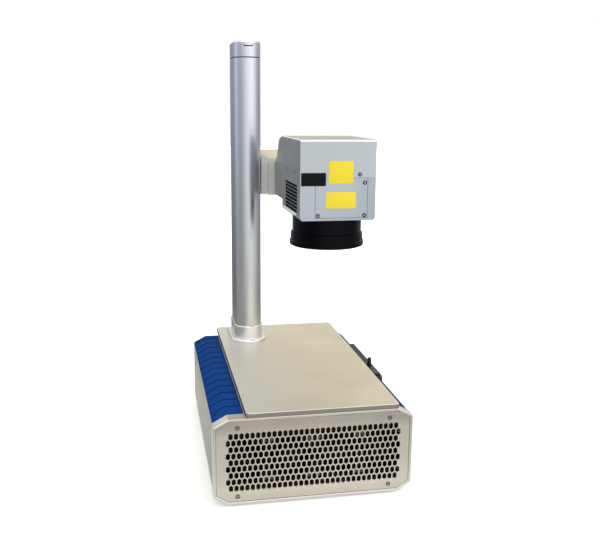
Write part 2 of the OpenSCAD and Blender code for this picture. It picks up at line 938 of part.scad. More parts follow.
module column_collar() {
    color("silver") in_frame() at_column(column_base) difference() {
        column_solid(collar_grow, column_corner, collar_h);
        translate([0, 0, -cut]) column_solid(seam / 2, column_corner, collar_h + 2 * cut);
    }
}

module column_profile() {
    slot_low = arm_bottom - lift_down - carriage_margin - column_base;
    slot_high = arm_bottom + arm_h + lift_up + carriage_margin - column_base;
    color("silver") in_frame() at_column(column_base) difference() {
        column_solid(0, column_corner, column_top - column_base);
        translate([0, 0, -cut]) column_solid(-column_wall, cut, column_top - column_base + 2 * cut);
        translate([0, slot_y - slot_w / 2 + rod_y, slot_low])
            cube([column_r + cut, slot_w, slot_high - slot_low]);
    }
}

// Outline of the bracket-shaped groove, from the top of its left leg
function cap_notch() = let (
        w = cap_notch_w / 2,
        s = cap_notch_slant,
        t = cap_notch_line,
        low = -cap_notch_h
    ) [[-w, 0], [s - w, low], [w - s, low], [w, 0], [w - t, 0], [w - s - t / 2, low + t],
       [s + t / 2 - w, low + t], [t - w, 0]];

module column_cap() {
    color("gainsboro") in_frame() at_column(column_top) difference() {
        union() {
            column_solid(-cap_reveal, column_corner, cap_reveal_h + cut);
            translate([0, 0, cap_reveal_h]) column_solid(0, column_corner, cap_h - cap_reveal_h);
        }
        translate([0, 0, cap_h - cap_notch_below]) along_y(-column_r - cut, cap_notch_depth + cut)
            polygon(cap_notch());
        translate([0, 0, -cut]) column_solid(-column_wall, cut, cap_h - column_wall + cut);
    }
}

module lift_motor() {
    color("dimgray") in_frame() at_column(base_h - motor_block_h - motor_h) translate([0, screw_y, 0]) difference() {
        union() {
            intersection() {
                translate([-motor_w / 2, -motor_w / 2, 0]) cube([motor_w, motor_w, motor_h]);
                rotate([0, 0, 45]) translate([-motor_w / 2 - motor_corner, -motor_w / 2 - motor_corner, 0])
                    cube([motor_w + 2 * motor_corner, motor_w + 2 * motor_corner, motor_h]);
            }
            translate([0, 0, motor_h]) cylinder(r = motor_boss_r, h = motor_boss_h);
        }
        translate([0, 0, motor_h / 2]) cylinder(r = lead_r + running, h = motor_h);
    }
}

module motor_block() {
    color("silver") in_frame() at_column(base_h - motor_block_h) translate([0, screw_y, 0]) difference() {
        translate([-motor_w / 2, -motor_w / 2, 0]) cube([motor_w, motor_w, motor_block_h]);
        translate([0, 0, -cut]) cylinder(r = motor_boss_r + seam / 2, h = motor_block_h + 2 * cut);
    }
}

// Screw spindle with a ring for each turn of its thread
module lead_screw() {
    low = column_base + collar_h;
    high = top_block_z - lead_pitch;
    color("lightgray") in_frame() at_column(screw_start + seam) translate([0, screw_y, 0]) difference() {
        cylinder(r = lead_r, h = screw_end - screw_start - 2 * seam);
        for (z = [low : lead_pitch : high]) translate([0, 0, z - screw_start]) rotate_extrude()
            polygon([[lead_r + cut, -lead_pitch / 4], [lead_r - thread_depth, -lead_pitch / 8],
                [lead_r - thread_depth, lead_pitch / 8], [lead_r + cut, lead_pitch / 4]]);
    }
}

module guide_rods() {
    color("lightgray") in_frame() at_column(column_base) for (y = [rod_y, rod_y + rod_gap])
        translate([0, y, 0]) cylinder(r = rod_r, h = top_block_z - column_base + top_block_h / 2);
}

module top_block() {
    color("dimgray") in_frame() at_column(top_block_z) difference() {
        column_solid(-column_wall - seam / 2, cut, top_block_h);
        for (y = [rod_y, rod_y + rod_gap]) translate([0, y, -cut])
            cylinder(r = rod_r + snug, h = top_block_h / 2 + cut);
        translate([0, screw_y, -cut]) cylinder(r = bearing_r + snug, h = bearing_h + cut);
    }
}

module top_bearing() {
    color("silver") in_frame() at_column(top_block_z) translate([0, screw_y, 0]) difference() {
        cylinder(r = bearing_r, h = bearing_h);
        translate([0, 0, -cut]) cylinder(r = lead_r + running, h = bearing_h + 2 * cut);
    }
}

module carriage() {
    color("dimgray") in_frame() at_column(arm_bottom) difference() {
        union() {
            translate([-carriage_w / 2, rod_y - rod_r - carriage_back, 0])
                cube([carriage_w, carriage_len, arm_h]);
            translate([0, slot_y - tongue_len / 2 + rod_y, 0])
                cube([column_r + air, tongue_len, arm_h]);
        }
        for (y = [rod_y, rod_y + rod_gap]) translate([0, y, -cut])
            cylinder(r = rod_r + running, h = arm_h + 2 * cut);
        translate([0, screw_y, -cut]) cylinder(r = lead_r + lead_clear, h = arm_h + 2 * cut);
    }
}

module in_head() {
    in_frame() translate([head_x, 0, 0]) children();
}

module head_arm() {
    arm_end = arm_y + arm_len;
    color("gainsboro") in_head() {
        difference() {
            along_x(arm_left, arm_right - arm_left) polygon([[arm_y, arm_bottom], [arm_end, arm_bottom],
                [arm_end, arm_bottom + arm_h + arm_rise], [arm_y, arm_bottom + arm_h]]);
            box(arm_groove_x - arm_groove_w / 2, arm_y - cut, arm_bottom - cut,
                [arm_groove_w, arm_groove_depth + cut, arm_h - 2 * arm_groove_end]);
        }
        box(arm_groove_x + arm_groove_w / 2, arm_y, arm_bottom - arm_step,
            [head_w / 2 - arm_groove_x, arm_len, 2 * arm_step]);
        along_y(arm_y, rib_t) polygon([[arm_left, arm_bottom + arm_h - rib_t],
            [arm_left + rib_w, arm_bottom + arm_h - rib_t],
            [arm_left + rib_w, arm_bottom + arm_h],
            [arm_left, arm_bottom + arm_h + rib_h]]);
    }
}

module head_floor() {
    b = head_floor_bevel;
    color("silver") in_head() difference() {
        translate([0, head_y + head_len, head_z]) rotate([90, 0, 0]) linear_extrude(head_len)
            polygon([[b, 0], [head_w - b, 0], [head_w, b], [head_w, head_floor_h], [0, head_floor_h], [0, b]]);
        translate([lens_x, lens_y, head_z - cut]) cylinder(r = beam_bore_r, h = head_floor_h + 2 * cut);
    }
}

module side_strips() {
    color("white") in_head() for (x = [-strip_t, head_w])
        box(x, head_y + strip_start, head_z + strip_mid_z - strip_h / 2, [strip_t, strip_len, strip_h]);
}

module louvre_slots() {
    for (i = [0 : louvre_count - 1])
        box(-cut, head_y + louvre_start, head_z + louvre_top - i * louvre_pitch - louvre_w,
            [head_w + 2 * cut, louvre_len, louvre_w]);
}

module front_screw_places() {
    for (p = front_screws) translate([p[0], head_y, head_z + p[1]]) children();
}

module side_screw_places() {
    for (share = side_screw_shares) translate([0, head_y + share * head_len, head_z + side_screw_z]) children();
}

module head_shell() {
    height = shell_top - head_floor_h;
    color("silver") in_head() difference() {
        box(0, head_y, head_z + head_floor_h, [head_w, head_len, height]);
        box(head_wall, head_y + head_wall, head_z + head_floor_h - cut,
            [head_w - 2 * head_wall, head_len - 2 * head_wall, height + 2 * cut]);
        box(panel_left, head_y - cut, head_z + head_floor_h - cut,
            [panel_right - panel_left, head_wall + 2 * cut, height + 2 * cut]);
        louvre_slots();
        translate([beam_x, head_y + head_len - head_wall - cut, beam_z]) rotate([-90, 0, 0])
            cylinder(r = collimator_r + snug, h = head_wall + 2 * cut);
    }
}

module front_panel() {
    color("silver") in_head() difference() {
        box(panel_left + seam, head_y, head_z + head_floor_h + seam,
            [panel_right - panel_left - 2 * seam, panel_t, shell_top - head_floor_h - 2 * seam]);
        front_screw_places() translate([0, -cut, 0]) rotate([-90, 0, 0])
            cylinder(r = screw_r + snug, h = panel_t + 2 * cut);
    }
}

module head_screws() {
    color("dimgray") in_head() {
        front_screw_places() translate([0, -screw_sink, 0])
            screw(screw_r, screw_head_r, screw_sink, screw_sink + panel_t, screw_drive_r);
        side_screw_places() rotate([0, 0, -90]) translate([0, -screw_sink / 2, 0])
            screw(screw_drive_r, side_screw_r, screw_sink / 2, head_wall, screw_drive_r / 2);
    }
}

module louvre_filters() {
    color("black") in_head() for (x = [head_wall, head_w - head_wall - filter_t])
        box(x, head_y + louvre_start - louvre_frame,
            head_z + louvre_top - (louvre_count - 1) * louvre_pitch - louvre_w - louvre_frame / 2,
            [filter_t, louvre_len + 2 * louvre_frame, louvre_count * louvre_pitch + louvre_frame]);
}

// Side view of the top cover, its upper front edge rounded by a tangent arc
module cover_side(inset) {
    length = head_len - 2 * inset;
    height = head_h - shell_top - inset;
    r = head_round - inset;
    translate([head_y + inset, head_z + shell_top]) difference() {
        union() {
            translate([r, 0]) square([length - r, height]);
            square([length, height - r]);
            translate([r, height - r]) circle(r = r);
        }
        if (inset > 0) translate([-cut, -cut]) square([length + 2 * cut, cut]);
    }
}

module top_cover() {
    color("gainsboro") in_head() difference() {
        along_x(0, head_w) cover_side(0);
        translate([0, 0, -seam]) along_x(head_wall, head_w - 2 * head_wall) cover_side(head_wall);
        box(head_wall, head_y + head_wall, head_z + shell_top - cut,
            [head_w - 2 * head_wall, head_len - 2 * head_wall, 2 * cut]);
        side_screw_places() translate([-cut, 0, 0]) rotate([0, 90, 0])
            cylinder(r = screw_drive_r + snug, h = head_wall + 2 * cut);
        front_screw_places() translate([0, -cut, 0]) rotate([-90, 0, 0])
            cylinder(r = screw_r + snug, h = head_wall + 2 * cut);
    }
}

module rear_block() {
    start = head_y + head_len;
    color("gray") in_head() difference() {
        box(0, start, head_z + rear_block_low,
            [head_w, rear_block_end - start, rear_block_high - rear_block_low]);
        translate([beam_x, start - cut, beam_z]) rotate([-90, 0, 0])
            cylinder(r = collimator_r + snug, h = collimator_len);
    }
}

// Points of an arc that rounds the corner p between a and b
function unit(v) = v / norm(v);
function rounded(a, p, b, r, steps) = let (
        u = unit(a - p),
        w = unit(b - p),
        half = acos(u * w) / 2,
        turn = 180 - 2 * half,
        centre = p + unit(u + w) * r / sin(half),
        first = p + u * r / tan(half) - centre,
        last = p + w * r / tan(half) - centre
    ) [for (i = [0 : steps]) centre
        + (first * sin(turn * (1 - i / steps)) + last * sin(turn * i / steps)) / sin(turn)];

module rear_cover() {
    top = [0, head_h];
    low = [rear_slope_end, rear_block_high];
    color("lightgray") in_head() along_x(0, head_w) translate([head_y + head_len, head_z])
        polygon(concat([[0, rear_block_high], low],
            rounded(low, [rear_slope_y, rear_slope_top], top, rear_round, rear_round_steps), [top]));
}

module lens_barrel() {
    color("black") in_head() translate([lens_x, lens_y, head_z - lens_barrel_h]) difference() {
        cylinder(r = lens_r, h = lens_barrel_h);
        translate([0, 0, -cut]) cylinder(r = lens_bore_r, h = lens_barrel_h + 2 * cut);
    }
}

module lens_ring() {
    lip_r = lens_r + lens_lip_grow;
    low = lens_lip_h + lens_bevel_h;
    color("black") in_head() translate([lens_x, lens_y, lens_ring_z]) difference() {
        union() {
            cylinder(r = lens_r + lens_ring_grow, h = lens_ring_h);
            translate([0, 0, -lens_lip_h]) cylinder(r = lip_r, h = lens_lip_h);
            translate([0, 0, -low]) cylinder(r1 = lip_r - lens_bevel, r2 = lip_r, h = lens_bevel_h);
        }
        translate([0, 0, -low - cut]) cylinder(r = lens_bore_r, h = low + lens_ring_h + 2 * cut);
    }
}

module lens_glass() {
    color("lightsteelblue") in_head() translate([lens_x, lens_y, lens_ring_z - lens_lip_h + lens_glass_up])
        cylinder(r = lens_bore_r - snug, h = lens_glass_t);
}

// Bracket with both galvanometer motors, and the beam collimator behind it
module galvo_mount() {
    low = head_z + head_floor_h;
    gx = beam_x;
    color("dimgray") in_head() {
        difference() {
            union() {
                translate([lens_x, lens_y + galvo_y_start, beam_z]) rotate([-90, 0, 0])
                    cylinder(r = galvo_r, h = galvo_len);
                translate([gx, lens_y, beam_z + galvo_x_start]) cylinder(r = galvo_r, h = galvo_len);
                box(lens_x - galvo_r - mount_wall, lens_y + galvo_y_start, low,
                    [2 * galvo_r, galvo_len / 2, beam_z - low]);
                box(gx - galvo_r / 2, lens_y + galvo_r / 2, beam_z + galvo_x_start,
                    [galvo_r, galvo_y_start + galvo_len / 2, galvo_r]);
                box(lens_x - galvo_r - mount_wall, lens_y + galvo_y_start, beam_z + galvo_x_start - mount_wall,
                    [gx - lens_x + 2 * galvo_r, galvo_len / 2, galvo_r]);
                box(lens_x - galvo_r - mount_wall, lens_y + galvo_y_start, low,
                    [mount_wall, galvo_len / 2, beam_z + galvo_x_start - low]);
            }
            translate([lens_x, lens_y + galvo_y_start - cut, beam_z]) rotate([-90, 0, 0])
                cylinder(r = galvo_shaft_r + running, h = galvo_len / 2 + cut);
            translate([gx, lens_y, beam_z + galvo_x_start - cut])
                cylinder(r = galvo_shaft_r + running, h = galvo_len / 2 + cut);
        }
        translate([gx, head_y + head_len - head_wall, beam_z]) rotate([-90, 0, 0])
            cylinder(r = collimator_r, h = collimator_len - head_wall);
    }
}

module mirror_x() {
    color("white") in_head() translate([beam_x, lens_y, beam_z]) {
        rotate([0, 0, 45]) box(-mirror_x_w / 2, 0, -mirror_x_h / 2, [mirror_x_w, mirror_t, mirror_x_h]);
        translate([0, 0, mirror_x_h / 2 - mirror_t])
            cylinder(r = galvo_shaft_r, h = galvo_x_start + galvo_len / 4 - mirror_x_h / 2);
    }
}

module mirror_y() {
    color("white") in_head() translate([lens_x, lens_y, beam_z]) {
        rotate([0, 45, 0]) box(-mirror_y_h / 2, -mirror_y_w / 2, 0, [mirror_y_h, mirror_y_w, mirror_t]);
        translate([0, mirror_y_w / 2 - mirror_t, 0]) rotate([-90, 0, 0])
            cylinder(r = galvo_shaft_r, h = galvo_y_start + galvo_len / 4 - mirror_y_w / 2);
    }
}

// Blank plates on the head's front
module tag_plates() {
    color("gold") in_head() for (t = tag_shares)
        box(t[0] * head_w, head_y - tag_t, head_z + t[1] * head_h, [t[2] * head_w, tag_t, t[3] * head_h]);
}

front_bezel();
grille_plate();
grille_screws();
trim_left();
trim_right();
trim_screws();
side_panel_left();
side_panel_right();
floor_tray();
feet();
rear_panel();
mains_inlet();
rocker_frame();
mains_rocker();
data_sockets();
deck_rails();
plate_screws();
work_plate();
fan_plate();
fan_frames();
fan_rotor(0);  // fan_rotor_1
fan_rotor(1);  // fan_rotor_2
fan_rotor(2);  // fan_rotor_3
fan_rotor(3);  // fan_rotor_4
laser_source();
power_supply();
control_board();
board_standoffs();
console_housing();
console_face();
toggle_lever();
push_button();
column_foot();
column_collar();
column_profile();
column_cap();
lift_motor();
motor_block();
lead_screw();
guide_rods();
top_block();
top_bearing();
carriage();
head_arm();
head_floor();
side_strips();
head_shell();
front_panel();
head_screws();
louvre_filters();
top_cover();
rear_block();
rear_cover();
lens_barrel();
lens_ring();
lens_glass();
galvo_mount();
mirror_x();
mirror_y();
tag_plates();
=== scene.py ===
# %% [markdown]
# # A laser marking machine
# The machine stands on a bench: a low cabinet with a perforated front, a work plate on its lid, a
# round-fronted column at the back left and a marking head that a lift drives up and down the
# column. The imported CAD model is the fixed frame. Every piece below is a finer copy of one of
# its nodes, or a small new piece such as a screw, and it rides on the body that carries it.

# %% Load the frame and keep its box
import json
from math import cos, pi, radians, sin

import bpy
from mathutils import Matrix, Vector


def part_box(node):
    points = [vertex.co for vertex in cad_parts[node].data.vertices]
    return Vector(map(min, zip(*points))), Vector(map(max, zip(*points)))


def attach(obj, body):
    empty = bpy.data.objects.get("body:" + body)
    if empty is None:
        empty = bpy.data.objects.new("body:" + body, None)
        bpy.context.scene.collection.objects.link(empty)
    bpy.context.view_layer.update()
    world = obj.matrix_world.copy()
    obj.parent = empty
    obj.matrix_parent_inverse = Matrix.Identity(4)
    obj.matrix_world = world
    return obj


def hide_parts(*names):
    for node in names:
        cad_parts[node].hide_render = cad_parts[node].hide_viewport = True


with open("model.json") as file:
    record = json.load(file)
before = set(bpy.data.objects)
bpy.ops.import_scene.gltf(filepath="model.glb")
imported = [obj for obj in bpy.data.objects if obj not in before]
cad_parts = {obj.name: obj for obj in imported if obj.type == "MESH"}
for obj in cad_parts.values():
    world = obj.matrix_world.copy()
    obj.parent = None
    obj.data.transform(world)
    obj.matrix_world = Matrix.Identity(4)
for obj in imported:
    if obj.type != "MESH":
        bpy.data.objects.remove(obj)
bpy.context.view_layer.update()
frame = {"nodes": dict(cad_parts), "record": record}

MM = 0.001
record = frame["record"]
slot_of = {part["node"]: part["material_slot"] for part in record["subparts"]}
body_of = {node: body for body, nodes in record["behaviour"]["bodies"].items() for node in nodes}

# %% [markdown]
# ## The camera
# The photograph was taken with a normal lens from a little above the work plate and a little to
# the left of the front. The place and the turn below were fitted to the edges of the plate, the
# bezel and the column.

# %% Camera
scene = bpy.context.scene
scene.view_settings.view_transform = "Standard"

eye = Vector((-0.2034, -1.1231, 0.4981))
azimuth, elevation, roll = radians(11.179), radians(11.43), radians(0.439)
look = Vector((sin(azimuth) * cos(elevation), cos(azimuth) * cos(elevation), -sin(elevation)))
level_right = look.cross(Vector((0, 0, 1))).normalized()
level_up = level_right.cross(look)
right = cos(roll) * level_right + sin(roll) * level_up
up = cos(roll) * level_up - sin(roll) * level_right

lens = bpy.data.cameras.new("camera_lens")
lens.lens, lens.sensor_width = 47.42, 36
camera = bpy.data.objects.new("camera", lens)
scene.collection.objects.link(camera)
camera.matrix_world = Matrix.Translation(eye) @ Matrix((right, up, -look)).transposed().to_4x4()
scene.camera = camera
print("camera looks along", [round(v, 4) for v in look])

# %% [markdown]
# ## Helpers for materials
# A material is a small network of nodes. One helper adds a node, sets it and links what feeds it;
# another turns a colour as a screen shows it, such as #D5D0C4, into the linear light values that
# the shader wants. Every pattern reads the piece's own Object coordinates, which are in metres,
# so its scale is one over a real size.

# %% Helpers for materials
def linear(code):
    """The linear colour of an sRGB hex code, by the curve of that standard."""
    parts = [int(code[i:i + 2], 16) / 255 for i in (1, 3, 5)]
    return [p / 12.92 if p <= 0.04045 else ((p + 0.055) / 1.055) ** 2.4 for p in parts] + [1]


def shade(code, share):
    """A hex colour made lighter or darker by a share, as a linear colour."""
    return [min(1, v * share) for v in linear(code)[:3]] + [1]


def add(tree, kind, feeds=None, stops=None, **settings):
    """Adds a node with its settings, its values or links, and the stops of its ramp."""
    node = tree.nodes.new(kind)
    for name, value in settings.items():
        setattr(node, name, value)
    for name, value in (feeds or {}).items():
        if isinstance(value, bpy.types.NodeSocket):
            tree.links.new(value, node.inputs[name])
        else:
            node.inputs[name].default_value = value
    for i, (place, colour) in enumerate(stops or []):
        ramp = node.color_ramp.elements
        stop = ramp[i] if i < len(ramp) else ramp.new(place)
        stop.position, stop.color = place, colour
    return node


def start(name, **values):
    """A new material with the values on its shader's own sockets, and the piece's coordinates."""
    material = bpy.data.materials.new(name)
    material.use_nodes = True
    tree = material.node_tree
    shader = tree.nodes["Principled BSDF"]
    for socket, value in values.items():
        shader.inputs[socket.replace("_", " ")].default_value = value
    return material, tree, shader, add(tree, "ShaderNodeTexCoord").outputs["Object"]


print("half grey on a screen is", round(linear("#808080")[0], 3), "of the light")

# %% [markdown]
# ## Metals
# The bezel, the grille, the work plate and the column are aluminium. Blasting with fine beads
# leaves a grain of about 0.2 mm that scatters the light, anodising seals it, and drawing a column
# through its die leaves fine lines along it. The grain could come from a picture, but noise in
# the machine's own space needs none and has no seams. It is drawn coarser than it is, 0.4 to
# 0.8 mm, because a finer one would fall between the render's pixels. A slow cloud changes the
# tone by a few percent, as on every large anodised sheet.

# %% Blasted, drawn and turned metal
SHEET_CLOUDS = 14  # noise cells in a metre: a cloud of tone is about 70 mm across


def metal(name, code, roughness, grain_mm=0.8, depth_mm=0.02, stretch=(1, 1, 1),
          cloud=0.05, metallic=1.0):
    """Metal with a fine grain; a stretch below 1 draws the grain out along that axis."""
    swing, relief = 0.06, 0.35  # how far the grain moves the roughness, and how much it shows
    material, tree, shader, place = start(name, Metallic=metallic)
    drawn = add(tree, "ShaderNodeMapping", {"Vector": place, "Scale": stretch}).outputs["Vector"]
    grain = add(tree, "ShaderNodeTexNoise",
                {"Vector": drawn, "Scale": 1 / (grain_mm * MM), "Detail": 2})
    clouds = add(tree, "ShaderNodeTexNoise",
                 {"Vector": drawn, "Scale": SHEET_CLOUDS, "Detail": 3})
    tone = add(tree, "ShaderNodeValToRGB", {"Fac": clouds.outputs["Fac"]},
               stops=[(0.3, shade(code, 1 - cloud)), (0.7, shade(code, 1 + cloud))])
    dull = add(tree, "ShaderNodeMapRange", {"Value": grain.outputs["Fac"],
                                           "To Min": roughness - swing,
                                           "To Max": roughness + swing})
    bump = add(tree, "ShaderNodeBump", {"Height": grain.outputs["Fac"], "Strength": relief,
                                        "Distance": depth_mm * MM})
    tree.links.new(tone.outputs["Color"], shader.inputs["Base Color"])
    tree.links.new(dull.outputs["Result"], shader.inputs["Roughness"])
    tree.links.new(bump.outputs["Normal"], shader.inputs["Normal"])
    return material


# Blasted with beads and anodised: a calm, broad highlight with a trace of warmth.
bezel_blasted = metal("bezel_blasted_aluminium", "#DEDAD0", 0.42)
# Cut after anodising, so bare and smooth: an edge that flashes as a thin bright line.
edge_polished = metal("edge_cut_bright", "#F2F0EC", 0.16, depth_mm=0.005, cloud=0.01)
# Punched sheet with a satin film: even, and a little warmer than bare metal.
grille_satin = metal("grille_satin_aluminium", "#D2CCC0", 0.45)
# A dyed film over ground metal: the metal's own shine in champagne.
plate_anodised = metal("plate_champagne_anodised", "#D9D0BD", 0.46)
# Drawn through a die: lines along the column that keep its bands of light straight.
column_drawn = metal("column_drawn_aluminium", "#CDD1D9", 0.33, grain_mm=0.5,
                     stretch=(1, 1, 0.01), cloud=0.02)
# The bezel again, painted darker as the shade it gets under the plate's edge.
ledge_painted_shade = metal("bezel_ledge_painted_shade", "#BAB5AC", 0.45)
# Milled blocks: the tool's lines draw the highlight out across them.
milled = metal("milled_aluminium", "#C9CACB", 0.34, grain_mm=0.6, stretch=(1, 0.05, 1))
# Turned, blasted and clear anodised rings: pale and clean.
collar_bright = metal("collar_blasted_aluminium", "#E6E6E5", 0.3, cloud=0.01)
# Sawn ends have no film: duller than the faces, with lines across, and painted darker grey as
# shade.
plate_end_sawn_and_shaded = metal("plate_sawn_edge_with_painted_shade", "#948D88", 0.4, grain_mm=0.6, stretch=(0.05, 1, 1),
                  metallic=0.7)
# Silver coated sheet of the head: satin, with a little less mirror than bare metal.
head_satin = metal("head_satin_aluminium", "#ADB3B9", 0.4, metallic=0.85)
# The darker copy for the head's sides is painted shade.
head_side_painted_shade = metal("head_side_satin_with_painted_shade", "#A2A5A7", 0.42, metallic=0.85)
# The cover's sheet: silver round it, and a champagne copy for its top as a painted warm
# reflection.
cover_top_painted_warm = metal("cover_top_painted_warm_reflection", "#B7B1A7", 0.42, metallic=0.85)
cover_satin = metal("cover_satin_aluminium", "#B0B6BA", 0.4, metallic=0.85)
# Bright strip under a clear lacquer, painted nearly white as a highlight; the cover's front round
# takes it too.
bright_strip_painted_highlight = metal("strip_and_round_painted_highlight", "#FCFDFC", 0.2, depth_mm=0.002,
                     cloud=0.01, metallic=0.1)
# Grey steel, neither dull nor bright.
screw_grey = metal("screw_grey_steel", "#6E6964", 0.36, grain_mm=0.4, metallic=0.8)
# Turned and ground steel: the finer the cut, the sharper the highlight.
steel_turned = metal("screw_turned_steel", "#B4B5B8", 0.3, grain_mm=0.4)
steel_ground = metal("ground_steel", "#C8C9CC", 0.22, grain_mm=0.4, depth_mm=0.005)
# Black dyed films: dark, with the grey highlight of the metal below.
lens_anodised = metal("lens_black_anodised", "#151619", 0.32, grain_mm=0.5)
source_anodised = metal("source_black_anodised", "#1B1C20", 0.45)
# Turned brass: the copper in it colours the highlight itself.
brass_turned = metal("standoff_turned_brass", "#C8A45A", 0.28, grain_mm=0.4)
# Silicon polished and coated for the laser: a true mirror with a yellow cast.
mirror_coated = metal("mirror_coated_silicon", "#E3D9BD", 0.05, depth_mm=0.001, cloud=0.01)
print("metals:", len(bpy.data.materials))

# %% [markdown]
# ## Powder coat, plastics and rubber
# The folded sheets are powder coated: the baked powder leaves a skin with shallow dimples of
# about a millimetre, known as orange peel. The console, the fans and the mains inlet are moulded
# black plastic with a fine spark-eroded texture, the feet are rubber and the corner trims are
# blue anodised extrusions with a dead matt face. None of these is a metal to the light, so the
# highlight is white and the colour comes from below the skin. Where a black piece lies behind
# the slots, its highlight is turned down, because little of the room gets there.

# %% Coats and mouldings
COAT_CLOUDS = 11  # noise cells in a metre: a cloud of tone is about 90 mm across


def coating(name, code, roughness, peel_mm, depth_mm, cloud=0.04, **values):
    """A coloured skin with dimples or a moulded grain of the given size and depth."""
    swing, relief = 0.04, 0.4  # how far the clouds move the roughness, and how much dimples show
    material, tree, shader, place = start(name, **values)
    peel = add(tree, "ShaderNodeTexNoise",
               {"Vector": place, "Scale": 1 / (peel_mm * MM), "Detail": 3})
    clouds = add(tree, "ShaderNodeTexNoise",
                 {"Vector": place, "Scale": COAT_CLOUDS, "Detail": 4})
    tone = add(tree, "ShaderNodeValToRGB", {"Fac": clouds.outputs["Fac"]},
               stops=[(0.3, shade(code, 1 - cloud)), (0.7, shade(code, 1 + cloud))])
    dull = add(tree, "ShaderNodeMapRange", {"Value": clouds.outputs["Fac"],
                                           "To Min": roughness - swing,
                                           "To Max": roughness + swing})
    bump = add(tree, "ShaderNodeBump", {"Height": peel.outputs["Fac"], "Strength": relief,
                                        "Distance": depth_mm * MM})
    tree.links.new(tone.outputs["Color"], shader.inputs["Base Color"])
    tree.links.new(dull.outputs["Result"], shader.inputs["Roughness"])
    tree.links.new(bump.outputs["Normal"], shader.inputs["Normal"])
    return material


# Baked powder on folded steel: soft light over shallow dimples.
cabinet_coated = coating("cabinet_powder_coat", "#B4B5AC", 0.4, 1.4, 0.05)
arm_coated = coating("arm_powder_coat", "#C9C9C8", 0.42, 1.4, 0.05)
# The arm's top is painted champagne as a warm reflection, the tone of the plate and the cover's
# top.
arm_top_painted_warm = coating("arm_top_painted_warm_reflection", "#C4BAA4", 0.42, 1.4, 0.02)
# Dyed deep and etched matt: full blue from every side, with hardly a highlight.
trim_anodised = coating("trim_blue_anodised", "#053879", 0.5, 0.6, 0.02, cloud=0.08,
                        Specular_IOR_Level=0.02)
# Black coated steel: behind the grille it has to keep the slots dark.
fan_sheet = coating("fan_sheet_black_coat", "#0C0C0D", 0.6, 1.2, 0.04, Specular_IOR_Level=0.15)
sheet_black = coating("sheet_black_coat", "#141416", 0.5, 1.2, 0.04)
# Moulded ABS and nylon: a fine grain from the mould, and a soft white highlight.
plastic_black = coating("moulded_black_abs", "#17181A", 0.42, 0.8, 0.04)
fan_black = coating("fan_moulded_nylon", "#0A0A0B", 0.5, 0.8, 0.04, Specular_IOR_Level=0.12)
plastic_grey = coating("moulded_grey_abs", "#40454F", 0.5, 0.8, 0.04, Specular_IOR_Level=0.2)
# Polycarbonate, dyed through and moulded glossy: clear red with a sharp highlight.
rocker_red = coating("moulded_red_polycarbonate", "#A5181C", 0.22, 2.0, 0.01)
# Rubber: dull all over.
rubber_black = coating("foot_moulded_rubber", "#1A1A1A", 0.75, 1.0, 0.08)
# Steel blackened in a bath of salts: a dark skin through which the metal still shines.
oxide_black = coating("screw_black_oxide", "#1D1E22", 0.32, 0.4, 0.01, Metallic=0.6)
# Solder mask: a green lacquer, flowed smooth.
board_mask = coating("board_solder_mask", "#0F5A33", 0.3, 3.0, 0.01)
# Open foam: its pores swallow the light. On the slot walls of the louvres it is painted shade.
foam_and_slot_shade = coating("filter_foam_and_slot_painted_shade", "#050506", 0.95, 1.6, 0.6, Specular_IOR_Level=0.1)
# Painted shade in the joints, the cap's groove and along the plate's long sides: matt, and darker
# than any shadow beside them.
joint_painted_shade = coating("joint_and_groove_painted_shade", "#22252B", 0.7, 1.0, 0.02, Specular_IOR_Level=0.1)
plate_side_painted_shade = coating("plate_long_side_painted_shade", "#0A1220", 0.7, 1.0, 0.04, Specular_IOR_Level=0.05)
# Satin polyester film: flat colour with a calm highlight.
tag_yellow = coating("tag_yellow_film", "#DECA1F", 0.3, 2.5, 0.004, cloud=0.02)
tag_black = coating("tag_black_film", "#0D1314", 0.34, 2.5, 0.004, cloud=0.05,
                    Specular_IOR_Level=0.06)
print("materials so far:", len(bpy.data.materials))

# %% [markdown]
# ## Tints along a piece
# Several tints run along one axis of a piece. The grille is darker along its top, a painted
# shade, and lighter below it. The plate shows more silver on its left, a painted reflection of
# the column and the room. The column is warmer at its foot, the head darker and bluer to the
# right and the cabinet's side darker to the front and yellower to the back; for these, one
# photograph can't tell the finish from the light of the room. A ramp along one axis, multiplied
# with the finish, brings it in without a painted picture.

# %% Tints along a piece
def along(tree, axis, low, high):
    """Goes from 0 to 1 between two places on one axis of the machine."""
    place = add(tree, "ShaderNodeSeparateXYZ",
                {"Vector": tree.nodes["Texture Coordinate"].outputs["Object"]})
    share = add(tree, "ShaderNodeMapRange",
                {"Value": place.outputs[axis], "From Min": low, "From Max": high})
    return share.outputs["Result"]


def graded(material, axis, node, *stops):
    """Tints a finish along one axis of a node's box by the colours of a ramp."""
    tree = material.node_tree
    shader = tree.nodes["Principled BSDF"]
    under = shader.inputs["Base Color"].links[0].from_socket
    low, high = (getattr(corner, axis.lower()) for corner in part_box(node))
    tint = add(tree, "ShaderNodeValToRGB", {"Fac": along(tree, axis, low, high)},
               stops=[(place, (*colour, 1)) for place, colour in stops])
    mixed = add(tree, "ShaderNodeMix", {0: 1.0, 6: under, 7: tint.outputs["Color"]},
                data_type="RGBA", blend_type="MULTIPLY")
    tree.links.new(mixed.outputs[2], shader.inputs["Base Color"])
    print(material.name, "is tinted along", axis, "from", round(low, 3), "to", round(high, 3))


